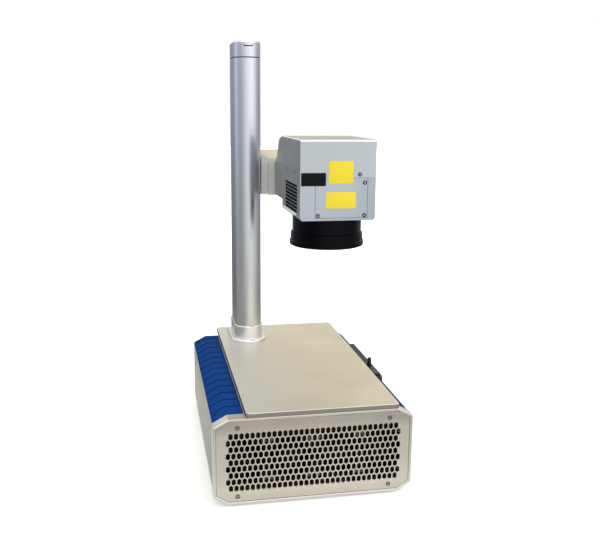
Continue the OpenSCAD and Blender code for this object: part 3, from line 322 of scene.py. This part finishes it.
# Painted shade along the grille's top and painted light through the rest of it.
graded(grille_satin, "Z", "grille_plate", (0, (1, 1, 0.99)), (0.12, (1.12, 1.13, 1.12)),
       (0.8, (1.1, 1.12, 1.1)), (0.93, (0.84, 0.83, 0.87)))
graded(column_drawn, "Z", "column_profile", (0, (1, 0.96, 0.84)), (0.5, (0.97, 0.98, 0.92)),
       (0.8, (1, 1, 1)))
graded(head_satin, "X", "head_shell", (0, (1, 1, 1)), (0.5, (0.95, 0.97, 0.98)),
       (1, (0.83, 0.86, 0.9)))
graded(cabinet_coated, "Y", "side_panel_left", (0, (0.6, 0.63, 0.65)),
       (0.35, (0.73, 0.76, 0.76)), (0.9, (1.06, 1.02, 0.88)))

# %% Painted reflection on the left of the plate
# The plate turns silver towards its left: a painted reflection of the column and the room.
silver_x, champagne_x = -90 * MM, 40 * MM
tree = plate_anodised.node_tree
plate_painted_reflection = add(tree, "ShaderNodeMix", {0: along(tree, "X", silver_x, champagne_x),
                                   6: linear("#D8D7CF"),
                                   7: tree.nodes["Color Ramp"].outputs["Color"]},
           data_type="RGBA")
tree.links.new(plate_painted_reflection.outputs[2], tree.nodes["Principled BSDF"].inputs["Base Color"])
print("the plate is champagne from x =", champagne_x)

# %% [markdown]
# ## Lens glass
# The scan lens ends in a flat protective window with an anti-reflection coating for the laser.
# Such a coating lets the light through and throws a faint green reflection back, which a tinted
# coat on a clear shader gives. Wiping leaves smears that change the roughness a little.

# %% Glass
SMEARS = 60  # noise cells in a metre: a smear is about 17 mm wide
window_glass, tree, shader, place = start(
    "lens_coated_glass", Base_Color=linear("#CFE0DC"), IOR=1.46, Transmission_Weight=0.85,
    Coat_Weight=0.6, Coat_Tint=linear("#9FD8B8"))
smears = add(tree, "ShaderNodeTexNoise", {"Vector": place, "Scale": SMEARS, "Detail": 3})
wiped = add(tree, "ShaderNodeMapRange",
            {"Value": smears.outputs["Fac"], "To Min": 0.02, "To Max": 0.06})
tree.links.new(wiped.outputs["Result"], shader.inputs["Roughness"])
print("materials:", len(bpy.data.materials))

# %% [markdown]
# ## Finer copies of the CAD pieces
# A CAD solid has edges as sharp as a knife, and no real one has. A cut and blasted edge is
# rounded by a few tenths of a millimetre, and it is that round which catches the light. It could
# be faked in the shader, but then the outline would stay sharp. The mesh of a node is loose
# triangles, so a copy is merged first and its flat faces are joined. The Bevel modifier then
# rounds every edge that turns by more than 40 degrees, and can give the round a finish of its
# own, such as the bright cut edge of the bezel.

# %% Helpers for pieces
MERGE = 0.01 * MM  # points nearer than this become one
ONE_FACE = radians(0.5)  # faces that turn by less are joined
ROUNDED = radians(40)  # edges that turn by more are rounded
SMOOTH = radians(35)  # faces that turn by less are shaded as one
WALL = 0.7  # a face whose normal rises or falls by less than this stands upright
print("points closer than", MERGE / MM, "mm are merged")


def alone(piece):
    """Selects one object and nothing else."""
    bpy.ops.object.select_all(action="DESELECT")
    piece.select_set(True)
    bpy.context.view_layer.objects.active = piece


def fasten(piece, body, slot, *nodes):
    """Puts a finished piece on its body and hides the nodes it stands for; the slot is not used.
    """
    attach(piece, body)
    if nodes:
        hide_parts(*nodes)
    return piece


def round_rim(piece, rim_mm):
    """Rounds the outer edge of the uppermost face and gives the round the second finish."""
    mesh = piece.data
    top = max(v.co.z for v in mesh.vertices)
    middle = sum((v.co for v in mesh.vertices), Vector()) / len(mesh.vertices)
    outward = {key for face in mesh.polygons for key in face.edge_keys
               if abs(face.normal.z) < WALL
               and face.normal.xy.dot(face.center.xy - middle.xy) > 0}
    rim = [edge.index for edge in mesh.edges if edge.key in outward
           and min(mesh.vertices[i].co.z for i in edge.vertices) > top - MERGE]
    bpy.ops.object.mode_set(mode="EDIT")
    bpy.ops.mesh.select_mode(type="EDGE")
    bpy.ops.mesh.select_all(action="DESELECT")
    bpy.ops.object.mode_set(mode="OBJECT")
    for i in rim:
        mesh.edges[i].select = True
    bpy.ops.object.mode_set(mode="EDIT")
    bpy.ops.mesh.bevel(offset=rim_mm * MM, segments=4, material=1)
    bpy.ops.object.mode_set(mode="OBJECT")
    print(piece.name, "has a rim of", len(rim), "edges")


def dressed(node, finish, edge_mm, edge_finish=None, rim_mm=0):
    """A merged copy of a node with rounded edges, which takes the node's place."""
    piece = bpy.data.objects.new(node + "_finished", frame["nodes"][node].data.copy())
    scene.collection.objects.link(piece)
    piece.data.materials.clear()
    for material in (finish, edge_finish or finish):
        piece.data.materials.append(material)
    alone(piece)
    bpy.ops.mesh.customdata_custom_splitnormals_clear()
    bpy.ops.object.mode_set(mode="EDIT")
    bpy.ops.mesh.select_all(action="SELECT")
    bpy.ops.mesh.remove_doubles(threshold=MERGE)
    bpy.ops.mesh.dissolve_limited(angle_limit=ONE_FACE)
    bpy.ops.object.mode_set(mode="OBJECT")
    if rim_mm:
        round_rim(piece, rim_mm)
    if edge_mm:
        bevel = piece.modifiers.new("rounded_edges", "BEVEL")
        bevel.width, bevel.segments, bevel.limit_method = edge_mm * MM, 3, "ANGLE"
        bevel.angle_limit, bevel.use_clamp_overlap = ROUNDED, False
        bevel.material = 1 if edge_finish and not rim_mm else -1
        bpy.ops.object.modifier_apply(modifier=bevel.name)
    bpy.ops.object.shade_smooth_by_angle(angle=SMOOTH)
    flat = piece.modifiers.new("flat_faces_stay_flat", "WEIGHTED_NORMAL")
    flat.keep_sharp = True
    bpy.ops.object.modifier_apply(modifier=flat.name)
    return fasten(piece, body_of[node], slot_of[node], node)


# %% [markdown]
# ## Which node gets which finish
# The table names each node, its finish and the radius of its edges in millimetres. Folded sheet
# has small rounds, castings and mouldings larger ones, and the board has none. The rings of the
# column and the head's cover are turned or pressed with a larger round on the top edge alone,
# which a rim gives, because one radius for all edges would eat their thin walls.

# %% Dress the nodes
# The cover's rim takes the strip's painted white highlight.
edge_finishes = {"front_bezel": edge_polished, "work_plate": edge_polished,
                 "column_foot": edge_polished, "column_collar": edge_polished,
                 "column_cap": collar_bright, "top_cover": bright_strip_painted_highlight}
rims_mm = {"column_foot": 2.4, "column_collar": 1.4, "column_cap": 2.4, "top_cover": 2.2}
pieces = {}
for node, finish, edge_mm in [
        ("front_bezel", bezel_blasted, 0.6), ("trim_left", trim_anodised, 0.3),
        ("trim_right", trim_anodised, 0.3), ("side_panel_left", cabinet_coated, 0.4),
        ("side_panel_right", cabinet_coated, 0.4), ("floor_tray", cabinet_coated, 0.4),
        ("rear_panel", cabinet_coated, 0.3), ("feet", rubber_black, 0.6),
        ("mains_inlet", plastic_black, 0.3), ("rocker_frame", plastic_black, 0.3),
        ("mains_rocker", rocker_red, 0.4), ("data_sockets", steel_turned, 0.2),
        ("work_plate", plate_anodised, 0.4), ("deck_rails", milled, 0.3),
        ("fan_plate", fan_sheet, 0.1), ("fan_frames", fan_black, 0.3),
        ("power_supply", milled, 0.5), ("control_board", board_mask, 0),
        ("board_standoffs", brass_turned, 0.2), ("console_housing", plastic_black, 0.6),
        ("console_face", plastic_grey, 0.15), ("toggle_lever", plastic_black, 0.3),
        ("push_button", plastic_black, 0.5), ("column_foot", collar_bright, 0.2),
        ("column_collar", collar_bright, 0.1), ("column_profile", column_drawn, 0.5),
        ("column_cap", column_drawn, 0.3), ("lift_motor", sheet_black, 0.4),
        ("motor_block", milled, 0.4), ("guide_rods", steel_ground, 0.3),
        ("top_block", milled, 0.3), ("top_bearing", steel_ground, 0.2),
        ("carriage", milled, 0.4), ("head_arm", arm_coated, 0.5),
        ("head_floor", head_satin, 0.3), ("side_strips", bright_strip_painted_highlight, 0.8),
        ("head_shell", head_satin, 0.25), ("front_panel", head_satin, 0.25),
        ("top_cover", cover_satin, 0.4), ("rear_block", head_satin, 0.5),
        ("rear_cover", cover_satin, 0.6), ("lens_barrel", lens_anodised, 0.5),
        ("lens_ring", lens_anodised, 0.5), ("galvo_mount", source_anodised, 0.3),
        ("mirror_x", mirror_coated, 0.1), ("mirror_y", mirror_coated, 0.1)]:
    pieces[node] = dressed(node, finish, edge_mm, edge_finishes.get(node), rims_mm.get(node, 0))
faces = sum(len(piece.data.polygons) for piece in pieces.values())
print("dressed", len(pieces), "nodes,", faces, "faces")

# %% [markdown]
# ## Faces with a finish of their own
# One piece often shows several finishes, and here several are painted light and shade. The plate
# is sawn to length, so its ends are plain metal, painted darker as shade, and its long sides take
# near-black painted shade. The bezel's ledge under the plate and the joints where the side panels
# meet the trims take painted shade. The tops of the head's cover and of the arm are painted
# champagne as a warm reflection, and the cover's front round is painted white as a highlight. The
# head's sides take a darker copy of its finish as painted shade, and so do the slot walls, the
# sheet between the louvres, the joint under the cap and its finger groove. A cut in the mesh
# isn't needed for any of them: a face is picked by its place and by the way it looks.

# %% Faces of the plate, the bezel and the panels
def refinish(piece, finish, wanted):
    """Gives another finish to the faces whose centre and normal pass a test."""
    piece.data.materials.append(finish)
    picked = [face for face in piece.data.polygons if wanted(face.center, face.normal)]
    for face in picked:
        face.material_index = len(piece.data.materials) - 1
    print(piece.name, "gets", finish.name, "on", len(picked), "faces")


# A unit normal holds almost all of an axis on a flat face, and less of it on a round beside it.
FLAT_ON, NEARLY, MOSTLY, PARTLY, HARDLY = 0.96, 0.9, 0.5, 0.2, 0.1
# The plate's ends get the sawn finish with its painted shade.
refinish(pieces["work_plate"], plate_end_sawn_and_shaded,
         lambda centre, normal: abs(normal.y) > PARTLY and normal.z < HARDLY)
# The plate's long sides take near-black blue painted shade.
refinish(pieces["work_plate"], plate_side_painted_shade, lambda centre, normal: abs(normal.x) > FLAT_ON)

# The bezel's ledge under the plate takes painted shade.
# The ledge's long faces have their centres near the middle of the machine.
bezel_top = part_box("front_bezel")[1].z
ledge_depth, ledge_reach, ledge_rise = 2 * MM, 20 * MM, 0.3
refinish(pieces["front_bezel"], ledge_painted_shade, lambda centre, normal: (
    normal.z > ledge_rise and centre.z > bezel_top - ledge_depth
    and abs(centre.x) < ledge_reach))
# Where the side panels meet the trims, their top faces take painted shade.
for node in ("side_panel_left", "side_panel_right"):
    refinish(pieces[node], joint_painted_shade, lambda centre, normal: normal.z > MOSTLY)

# %% Faces of the head and the arm
# The head's sides take that darker copy as painted shade.
for node in ("head_shell", "top_cover", "rear_block"):
    refinish(pieces[node], head_side_painted_shade, lambda centre, normal: abs(normal.x) > NEARLY)
# The tops of the cover and the arm take a painted warm reflection.
refinish(pieces["top_cover"], cover_top_painted_warm, lambda centre, normal: normal.z > FLAT_ON)
round_start, round_end = 0.25, 0.8  # the part of the cover's front round painted white as a highlight
refinish(pieces["top_cover"], bright_strip_painted_highlight, lambda centre, normal: (
    normal.y < -round_start and round_start < normal.z < round_end))
refinish(pieces["head_arm"], arm_top_painted_warm, lambda centre, normal: normal.z > FLAT_ON)

# %% Shade in the louvres
# The openings reach 2.6 mm past the filter sheets to the outside, and stop short of their edges.
wall, edge, lower_edge, upper_edge = 2.6 * MM, 4 * MM, 2 * MM, 3.9 * MM
filter_low, filter_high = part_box("louvre_filters")
louvre_low = Vector((filter_low.x - wall, filter_low.y + edge, filter_low.z + lower_edge))
louvre_high = Vector((filter_high.x + wall, filter_high.y - edge, filter_high.z - upper_edge))
slack = Vector((0.1, 0.1, 0.1)) * MM
middle = (louvre_low + louvre_high) / 2
half = (louvre_high - louvre_low) / 2 + slack
# The slot walls of the head's sheet take the foam's black as painted shade.
refinish(pieces["head_shell"], foam_and_slot_shade, lambda centre, normal: abs(normal.x) < HARDLY and all(
    abs(offset) < reach for offset, reach in zip(centre - middle, half))
    and abs(centre.x - middle.x) > half.x - wall)

# The sheet between the louvres isn't a face of its own, so its material darkens it by place, as
# painted shade.
tree = head_side_painted_shade.node_tree
place = add(tree, "ShaderNodeSeparateXYZ",
            {"Vector": tree.nodes["Texture Coordinate"].outputs["Object"]})
across = add(tree, "ShaderNodeMath", {0: place.outputs["Y"], 1: middle.y, 2: half.y},
             operation="COMPARE")
upward = add(tree, "ShaderNodeMath", {0: place.outputs["Z"], 1: middle.z, 2: half.z},
             operation="COMPARE")
inside = add(tree, "ShaderNodeMath", {0: across.outputs[0], 1: upward.outputs[0]},
             operation="MULTIPLY")
louvre_painted_shade = add(tree, "ShaderNodeMix", {0: inside.outputs[0],
                                     6: tree.nodes["Color Ramp"].outputs["Color"],
                                     7: linear("#62666A")}, data_type="RGBA")
tree.links.new(louvre_painted_shade.outputs[2], tree.nodes["Principled BSDF"].inputs["Base Color"])

# %% Joint and groove of the cap
# The joint under the cap and its finger groove take painted shade.
joint, groove_top, groove_foot, groove_depth = 1.25 * MM, 2 * MM, 10 * MM, 0.4 * MM
cap_low, cap_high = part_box("column_cap")
cap_radius = (cap_high.x - cap_low.x) / 2
cap_axis = Vector((cap_low.x + cap_radius, cap_low.y + cap_radius))
refinish(pieces["column_cap"], joint_painted_shade, lambda centre, normal: centre.z < cap_low.z + joint or (
    groove_top < cap_high.z - centre.z < groove_foot and centre.y < cap_axis.y
    and (centre.xy - cap_axis).length < cap_radius - groove_depth))

# %% [markdown]
# ## Pieces that keep their CAD mesh
# The grille has nearly three hundred slots and its edges are punched sharp, so the CAD mesh is
# already the right shape, and only its finish changes. The same holds for small screws, the fan
# rotors and what lies deep inside.

# %% Finishes for the other nodes
rotors = [(f"fan_rotor_{i}", fan_black) for i in (1, 2, 3, 4)]
for node, finish in [
        ("grille_plate", grille_satin), ("trim_screws", oxide_black),
        ("plate_screws", steel_turned), *rotors, ("laser_source", source_anodised),
        ("lead_screw", steel_ground), ("louvre_filters", foam_and_slot_shade),
        ("lens_glass", window_glass)]:
    frame["nodes"][node].data.materials.clear()
    frame["nodes"][node].data.materials.append(finish)
print("nodes left as they are:", sorted(set(frame["nodes"]) - set(pieces)))

# %% [markdown]
# ## Screws
# Three kinds of screw show from the front. The fans are held by screws on washers, seen through
# the grille, and the grille by four button-head screws; both are grey steel. The sockets of the
# fans' screws are painted black as shade. The head's front is held by lower button-head screws
# with black oxide, and its side by small ones of that kind; in these and in the grille's screws
# the hexagon socket is painted bright steel as a highlight. A picture of a socket has no depth
# when the light moves, so one screw of each kind is modelled, a cylinder with a domed edge and a
# socket cut into it, and the others are copies, each with a mesh of its own.

# %% One screw
def pick(piece, wanted):
    """In edit mode, selects the faces whose centre and normal pass a test."""
    bpy.ops.mesh.select_mode(type="FACE")
    bpy.ops.mesh.select_all(action="DESELECT")
    bpy.ops.object.mode_set(mode="OBJECT")
    for face in piece.data.polygons:
        face.select = wanted(face.center, face.normal)
    bpy.ops.object.mode_set(mode="EDIT")


def disc(name, radius, low, high, vertices=32):
    """A short cylinder along Y between two distances in front of the origin, in millimetres."""
    bpy.ops.object.select_all(action="DESELECT")
    bpy.ops.mesh.primitive_cylinder_add(
        vertices=vertices, radius=radius * MM, depth=(high - low) * MM,
        location=(0, -(low + high) * MM / 2, 0), rotation=(pi / 2, 0, 0))
    piece = bpy.context.object
    piece.name = name
    bpy.ops.object.transform_apply()
    return piece


def button_screw(name, finish, socket_painted_light, radius, height, socket, washer=0.0):
    """A domed screw with a hexagon socket, seated at the origin and looking along -Y. The socket's
    finish is painted light: dark as shade, bright as a highlight.
    """
    dome, socket_floor, washer_mm = 0.55 * height, 0.35 * height, 0.3
    screw = disc(name, radius, 0, height)
    bpy.ops.object.mode_set(mode="EDIT")
    pick(screw, lambda centre, normal: normal.y < -NEARLY)
    bpy.ops.mesh.bevel(offset=dome * MM, segments=4)
    bpy.ops.object.mode_set(mode="OBJECT")
    key = disc("key", socket, socket_floor, 2 * height, vertices=6)
    for face in key.data.polygons:
        face.material_index = 1
    screw.data.materials.append(finish)
    screw.data.materials.append(socket_painted_light)
    alone(screw)
    sink = screw.modifiers.new("socket", "BOOLEAN")
    sink.operation, sink.object = "DIFFERENCE", key
    bpy.ops.object.modifier_apply(modifier=sink.name)
    bpy.data.objects.remove(key)
    if washer:
        ring = disc("washer", washer, 0, washer_mm)
        ring.data.materials.append(finish)
        screw.select_set(True)
        bpy.context.view_layer.objects.active = screw
        screw.data.transform(Matrix.Translation((0, -washer_mm * MM, 0)))
        bpy.ops.object.join()
    bpy.ops.object.shade_smooth_by_angle(angle=SMOOTH)
    print(name, "has", len(screw.data.polygons), "faces")
    return screw


# %% [markdown]
# ## Screws in their places
# The screws of a 60 mm fan stand 50 mm apart, and four fans stand side by side. The grille's
# screws sit where the CAD model has them, with their faces as far out. The head's screws are
# measured from its left edge and its foot. A screw of the side is the front's, turned to look
# along -X and made smaller and flatter.

# %% Rows of screws
def copied(piece, name, offset):
    """A copy of a piece with its own mesh, moved in the mesh."""
    twin = bpy.data.objects.new(name, piece.data.copy())
    scene.collection.objects.link(twin)
    twin.data.transform(Matrix.Translation(offset))
    return twin


def row_of_screws(model, name, body, places, *nodes):
    """Copies of a screw at the places; the first one also stands for the nodes."""
    for i, place in enumerate(places):
        screw = copied(model, f"{name}_{i + 1}", Vector(place))
        fasten(screw, body, "screw_steel", *(nodes if i == 0 else ()))
    bpy.data.objects.remove(model)
    print(name, len(places))


# %% Screws of the fans and the grille
FAN_CENTRES, FAN_HOLES = (-90, -30, 30, 90), (-25, 25)  # from the machine's and a fan's middle
fan_low, fan_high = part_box("fan_plate")
fan_middle = (fan_low.z + fan_high.z) / 2
# The fans' screws get black sockets: painted shade.
row_of_screws(
    button_screw("fan_screw_model", screw_grey, sheet_black,
                 radius=2.7, height=1.4, socket=1.5, washer=3.4), "fan_screw", "base",
    [((fan + x) * MM, fan_low.y, fan_middle + z * MM)
     for fan in FAN_CENTRES for x in FAN_HOLES for z in FAN_HOLES])

BUTTON_RADIUS, BUTTON_HEIGHT = 2.75, 1.5
low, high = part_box("grille_screws")
# The grille's screws get bright steel sockets: a painted highlight.
row_of_screws(
    button_screw("grille_screw_model", screw_grey, steel_turned,
                 radius=BUTTON_RADIUS, height=BUTTON_HEIGHT, socket=1.3), "grille_screw", "base",
    [(x, low.y + BUTTON_HEIGHT * MM, z)
     for x in (low.x + BUTTON_RADIUS * MM, high.x - BUTTON_RADIUS * MM)
     for z in (low.z + BUTTON_RADIUS * MM, high.z - BUTTON_RADIUS * MM)], "grille_screws")

# %% Screws of the head
FRONT_SCREWS = ((24.8, 7), (89.6, 7), (89.6, 51.2), (82.4, 62.3))
SIDE_SCREWS, SIDE_DEPTH, SIDE_HEIGHT = (0.297, 0.763), 138, 63.5  # as shares of the side's depth
head_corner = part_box("head_shell")[0]
head_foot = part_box("head_floor")[0].z
# The head's screws get bright steel sockets: a painted highlight.
front = button_screw("front_screw_model", oxide_black, steel_turned,
                     radius=BUTTON_RADIUS, height=1.1, socket=1.3)
side = copied(front, "side_screw_model", (0, 0, 0))
smaller_and_flatter = Matrix.Diagonal((0.6, 0.5, 0.6, 1))
side.data.transform(Matrix.Rotation(-pi / 2, 4, "Z") @ smaller_and_flatter)
row_of_screws(front, "head_screw", "lift",
              [(head_corner.x + x * MM, head_corner.y, head_foot + z * MM)
               for x, z in FRONT_SCREWS], "head_screws")
row_of_screws(side, "side_screw", "lift",
              [(head_corner.x, head_corner.y + share * SIDE_DEPTH * MM,
                head_foot + SIDE_HEIGHT * MM) for share in SIDE_SCREWS])

# %% [markdown]
# ## Tags on the head
# Three thin plates of satin film are stuck on the front of the head, one black and two yellow.
# They could be patches of colour in the panel's material, but a real tag stands a little proud
# and its soft edge draws a fine line of light. So each is a cube, brought to its size, with its
# corners rounded in edit mode and its front edge softened.

# %% Tags
def tag(name, low, high, finish, corner_mm):
    """A thin plate between two corners with rounded corners and a soft front edge."""
    front_edge_mm, smooth, faces_front = 0.15, radians(30), 0.99
    size, middle = high - low, (low + high) / 2
    bpy.ops.object.select_all(action="DESELECT")
    bpy.ops.mesh.primitive_cube_add(size=1, location=middle, scale=size)
    plate = bpy.context.object
    plate.name = name
    bpy.ops.object.transform_apply()
    bpy.ops.object.mode_set(mode="EDIT")
    bpy.ops.mesh.select_mode(type="EDGE")
    bpy.ops.mesh.select_all(action="DESELECT")
    bpy.ops.object.mode_set(mode="OBJECT")
    for edge in plate.data.edges:
        a, b = (plate.data.vertices[i].co for i in edge.vertices)
        edge.select = abs(a.y - b.y) > size.y / 2
    bpy.ops.object.mode_set(mode="EDIT")
    bpy.ops.mesh.bevel(offset=corner_mm * MM, segments=5)
    pick(plate, lambda centre, normal: normal.y < -faces_front)
    bpy.ops.mesh.bevel(offset=front_edge_mm * MM, segments=2)
    bpy.ops.object.mode_set(mode="OBJECT")
    plate.data.materials.append(finish)
    bpy.ops.object.shade_smooth_by_angle(angle=smooth)
    return plate


# Each tag's distance from the head's left edge and foot, its width and height, and its corners.
tags = [("tag_dark", tag_black, 1.4, 47.2, 34, 17.6, 0.5),
        ("tag_bright", tag_yellow, 39.2, 50.2, 34, 30, 2.2),
        ("tag_lower", tag_yellow, 35.8, 16.6, 41.6, 22.4, 3)]
tag_low, tag_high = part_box("tag_plates")
for i, (name, finish, left, foot, width, height, corner_mm) in enumerate(tags):
    low = Vector((head_corner.x + left * MM, tag_low.y, head_foot + foot * MM))
    high = Vector((low.x + width * MM, tag_high.y, low.z + height * MM))
    plate = tag(name, low, high, finish, corner_mm)
    fasten(plate, "lift", "tag_yellow", *(["tag_plates"] if i == 0 else []))
print("tags:", len(tags))

# %% [markdown]
# ## Floor
# The photograph shows the machine cut out on white with a soft shadow. A large white floor keeps
# that shadow, and a little light of its own, that only the camera sees and that grows outwards,
# lifts it to white. In the shine of the metal the floor is darker from 0.22 m on and gone from
# 0.9 m on, because the column and the plate in the photograph don't mirror a wide white floor.

# %% Floor
FLOOR_RADIUS, BELOW_FEET = 9, 0.0004
PAPER = linear("#E9E9E9")
bpy.ops.object.select_all(action="DESELECT")
bpy.ops.mesh.primitive_circle_add(vertices=64, radius=FLOOR_RADIUS, fill_type="NGON",
                                  location=(0, 0, -BELOW_FEET))
floor = bpy.context.object
floor.name = "studio_floor"
bpy.ops.object.transform_apply()
paper, tree, shader, place = start("floor_white_paper", Roughness=0.9,
                                   Emission_Color=(1, 1, 1, 1))
rays = add(tree, "ShaderNodeLightPath")
away = add(tree, "ShaderNodeVectorMath", {0: place}, operation="LENGTH").outputs["Value"]


def outwards(near, far, rays_name, **ends):
    """A value that changes between two distances from the machine, for one kind of ray."""
    ends = {key.replace("_", " "): value for key, value in ends.items()}
    change = add(tree, "ShaderNodeMapRange",
                 {"Value": away, "From Min": near, "From Max": far, **ends})
    return add(tree, "ShaderNodeMath",
               {0: rays.outputs[rays_name], 1: change.outputs["Result"]},
               operation="MULTIPLY").outputs[0]


lifted = outwards(0.3, 1.4, "Is Camera Ray", To_Min=0.36, To_Max=1.0)
dimmed = outwards(0.22, 0.44, "Is Glossy Ray", To_Max=0.9)
gone = outwards(0.62, 0.9, "Is Glossy Ray")
sheet = add(tree, "ShaderNodeMix", {0: dimmed, 6: PAPER, 7: linear("#74736F")}, data_type="RGBA")
clear = add(tree, "ShaderNodeBsdfTransparent").outputs[0]
through = add(tree, "ShaderNodeMixShader", {0: gone, 1: shader.outputs[0], 2: clear})
tree.links.new(lifted, shader.inputs["Emission Strength"])
tree.links.new(sheet.outputs[2], shader.inputs["Base Color"])
tree.links.new(through.outputs[0], tree.nodes["Material Output"].inputs["Surface"])
floor.data.materials.append(paper)
print("floor:", 2 * FLOOR_RADIUS, "m across")

# %% [markdown]
# ## World
# The world is a studio: brighter to the front right, where a window or a soft box stands, and
# darker to the left, which is what gives the round column its bands. A picture of a room would
# do the same. Three rings of light levels do it in a few numbers: one below the horizon, one
# level with it and one above, with a bright zenith over them. The camera and clear glass see
# plain white, so that the background stays white.

# %% World
world = bpy.data.worlds.new("studio")
scene.world = world
world.use_nodes = True
tree = world.node_tree
tree.nodes.clear()
direction = add(tree, "ShaderNodeTexCoord").outputs["Generated"]
around = add(tree, "ShaderNodeTexGradient", {"Vector": direction},
             gradient_type="RADIAL").outputs["Fac"]
rising = add(tree, "ShaderNodeSeparateXYZ", {"Vector": direction}).outputs["Z"]
print("world:", world.name)


def daylight(level, warm=0.0):
    """A light level, a little warmer or cooler."""
    redder, bluer = 0.04, 0.13  # what one step of warmth adds to red and takes from blue
    return (level * (1 + redder * warm), level, level * (1 - bluer * warm), 1)


def ring(*stops):
    """Light levels around the horizon, from -X over the front and +X to the back."""
    return add(tree, "ShaderNodeValToRGB", {"Fac": around},
               stops=[(place, daylight(level, warm)) for place, level, warm in stops]
               ).outputs["Color"]


def between(low, high, lower, upper):
    """Goes from the lower ring to the upper one between two heights of the direction."""
    share = add(tree, "ShaderNodeMapRange", {"Value": rising, "From Min": low, "From Max": high})
    return add(tree, "ShaderNodeMix", {0: share.outputs["Result"], 6: lower, 7: upper},
               data_type="RGBA").outputs[2]


# %% Rings of light
floor_ring = ring(
    (0, 0.36, -1), (0.04, 0.3, -0.5), (0.12, 0.4, -0.5), (0.2, 0.92, 0), (0.27, 1.2, 0),
    (0.34, 1.1, 0), (0.43, 0.6, 0), (0.53, 0.3, -1), (0.7, 0.4, 0), (0.78, 0.1, 0),
    (0.88, 0.2, -0.5), (1, 0.36, -1))
level_ring = ring(
    (0, 0.72, -1), (0.04, 0.5, -0.6), (0.08, 0.54, -0.5), (0.125, 0.64, -0.5), (0.2, 1.05, 0),
    (0.27, 1.33, 0), (0.34, 1.82, 0.2), (0.43, 1.25, 0), (0.5, 0.5, -1), (0.56, 0.5, -1.6),
    (0.7, 0.55, -0.6), (0.78, 0.32, -1.5), (0.88, 0.62, -1.8), (0.94, 1.15, -1.5),
    (1, 0.72, -1))
high_ring = ring(
    (0, 1.1, 0), (0.15, 1.3, 0), (0.24, 1.8, 0), (0.36, 1.8, 0), (0.46, 1.2, 0),
    (0.52, 0.9, 0), (0.62, 1.05, 0.9), (0.72, 1.1, 0.9), (0.8, 0.9, 0.5), (0.9, 0.9, 0),
    (1, 1.1, 0))
zenith = add(tree, "ShaderNodeRGB").outputs[0]
zenith.default_value = daylight(1.5)
sky = between(-0.2, 0.04, floor_ring, level_ring)
sky = between(0.08, 0.4, sky, high_ring)
sky = between(0.72, 0.9, sky, zenith)
print("rings:", [node.name for node in tree.nodes if node.type == "VALTORGB"])

# %% What each ray sees
SHINE_SHARE, DIFFUSE_SHARE = 0.95, 0.72  # the ring's strength in the shine and on dull faces
rays = add(tree, "ShaderNodeLightPath")
strength = add(tree, "ShaderNodeMapRange", {"Value": rays.outputs["Is Diffuse Ray"],
                                           "To Min": SHINE_SHARE, "To Max": DIFFUSE_SHARE})
studio = add(tree, "ShaderNodeBackground", {"Color": sky, "Strength": strength.outputs["Result"]})
white = add(tree, "ShaderNodeBackground", {"Color": (1, 1, 1, 1), "Strength": 1.0})
seen = add(tree, "ShaderNodeMath", {0: rays.outputs["Is Camera Ray"],
                                    1: rays.outputs["Is Transmission Ray"]}, operation="MAXIMUM")
either = add(tree, "ShaderNodeMixShader",
             {0: seen.outputs[0], 1: studio.outputs[0], 2: white.outputs[0]})
add(tree, "ShaderNodeOutputWorld", {"Surface": either.outputs[0]})
print("the world has", len(tree.nodes), "nodes")

# %% [markdown]
# ## Lamps
# The world alone gives no clear shadow. A key lamp on the right draws the soft shadow on the
# left, a weak one on the left keeps the cabinet's side readable, and a warm one from above and
# behind lights the plate and the tops. All are large area lamps, hidden from reflections, because
# the rings already hold what the metal should mirror.

# %% Lamps
def soft_box(name, place, target, size, power, colour=(1, 1, 1)):
    """A square area lamp that looks at a point; the world alone gives the reflections."""
    light = bpy.data.lights.new(name, "AREA")
    light.shape, light.size, light.energy, light.color = "SQUARE", size, power, colour
    lamp = bpy.data.objects.new(name, light)
    scene.collection.objects.link(lamp)
    lamp.location = place
    lamp.rotation_euler = (Vector(target) - Vector(place)).to_track_quat("-Z", "Y").to_euler()
    lamp.visible_glossy = False


soft_box("key_right", place=(1.5, -1.6, 1.7), target=(0, 0, 0.25), size=1.2, power=18)
soft_box("fill_left", place=(-1.9, -0.9, 1.1), target=(0, 0, 0.25), size=1.4, power=1.5,
         colour=(0.94, 0.97, 1))
soft_box("top_back", place=(0.1, 0.3, 2.2), target=(0, 0, 0.2), size=1.4, power=13,
         colour=(1, 0.88, 0.66))
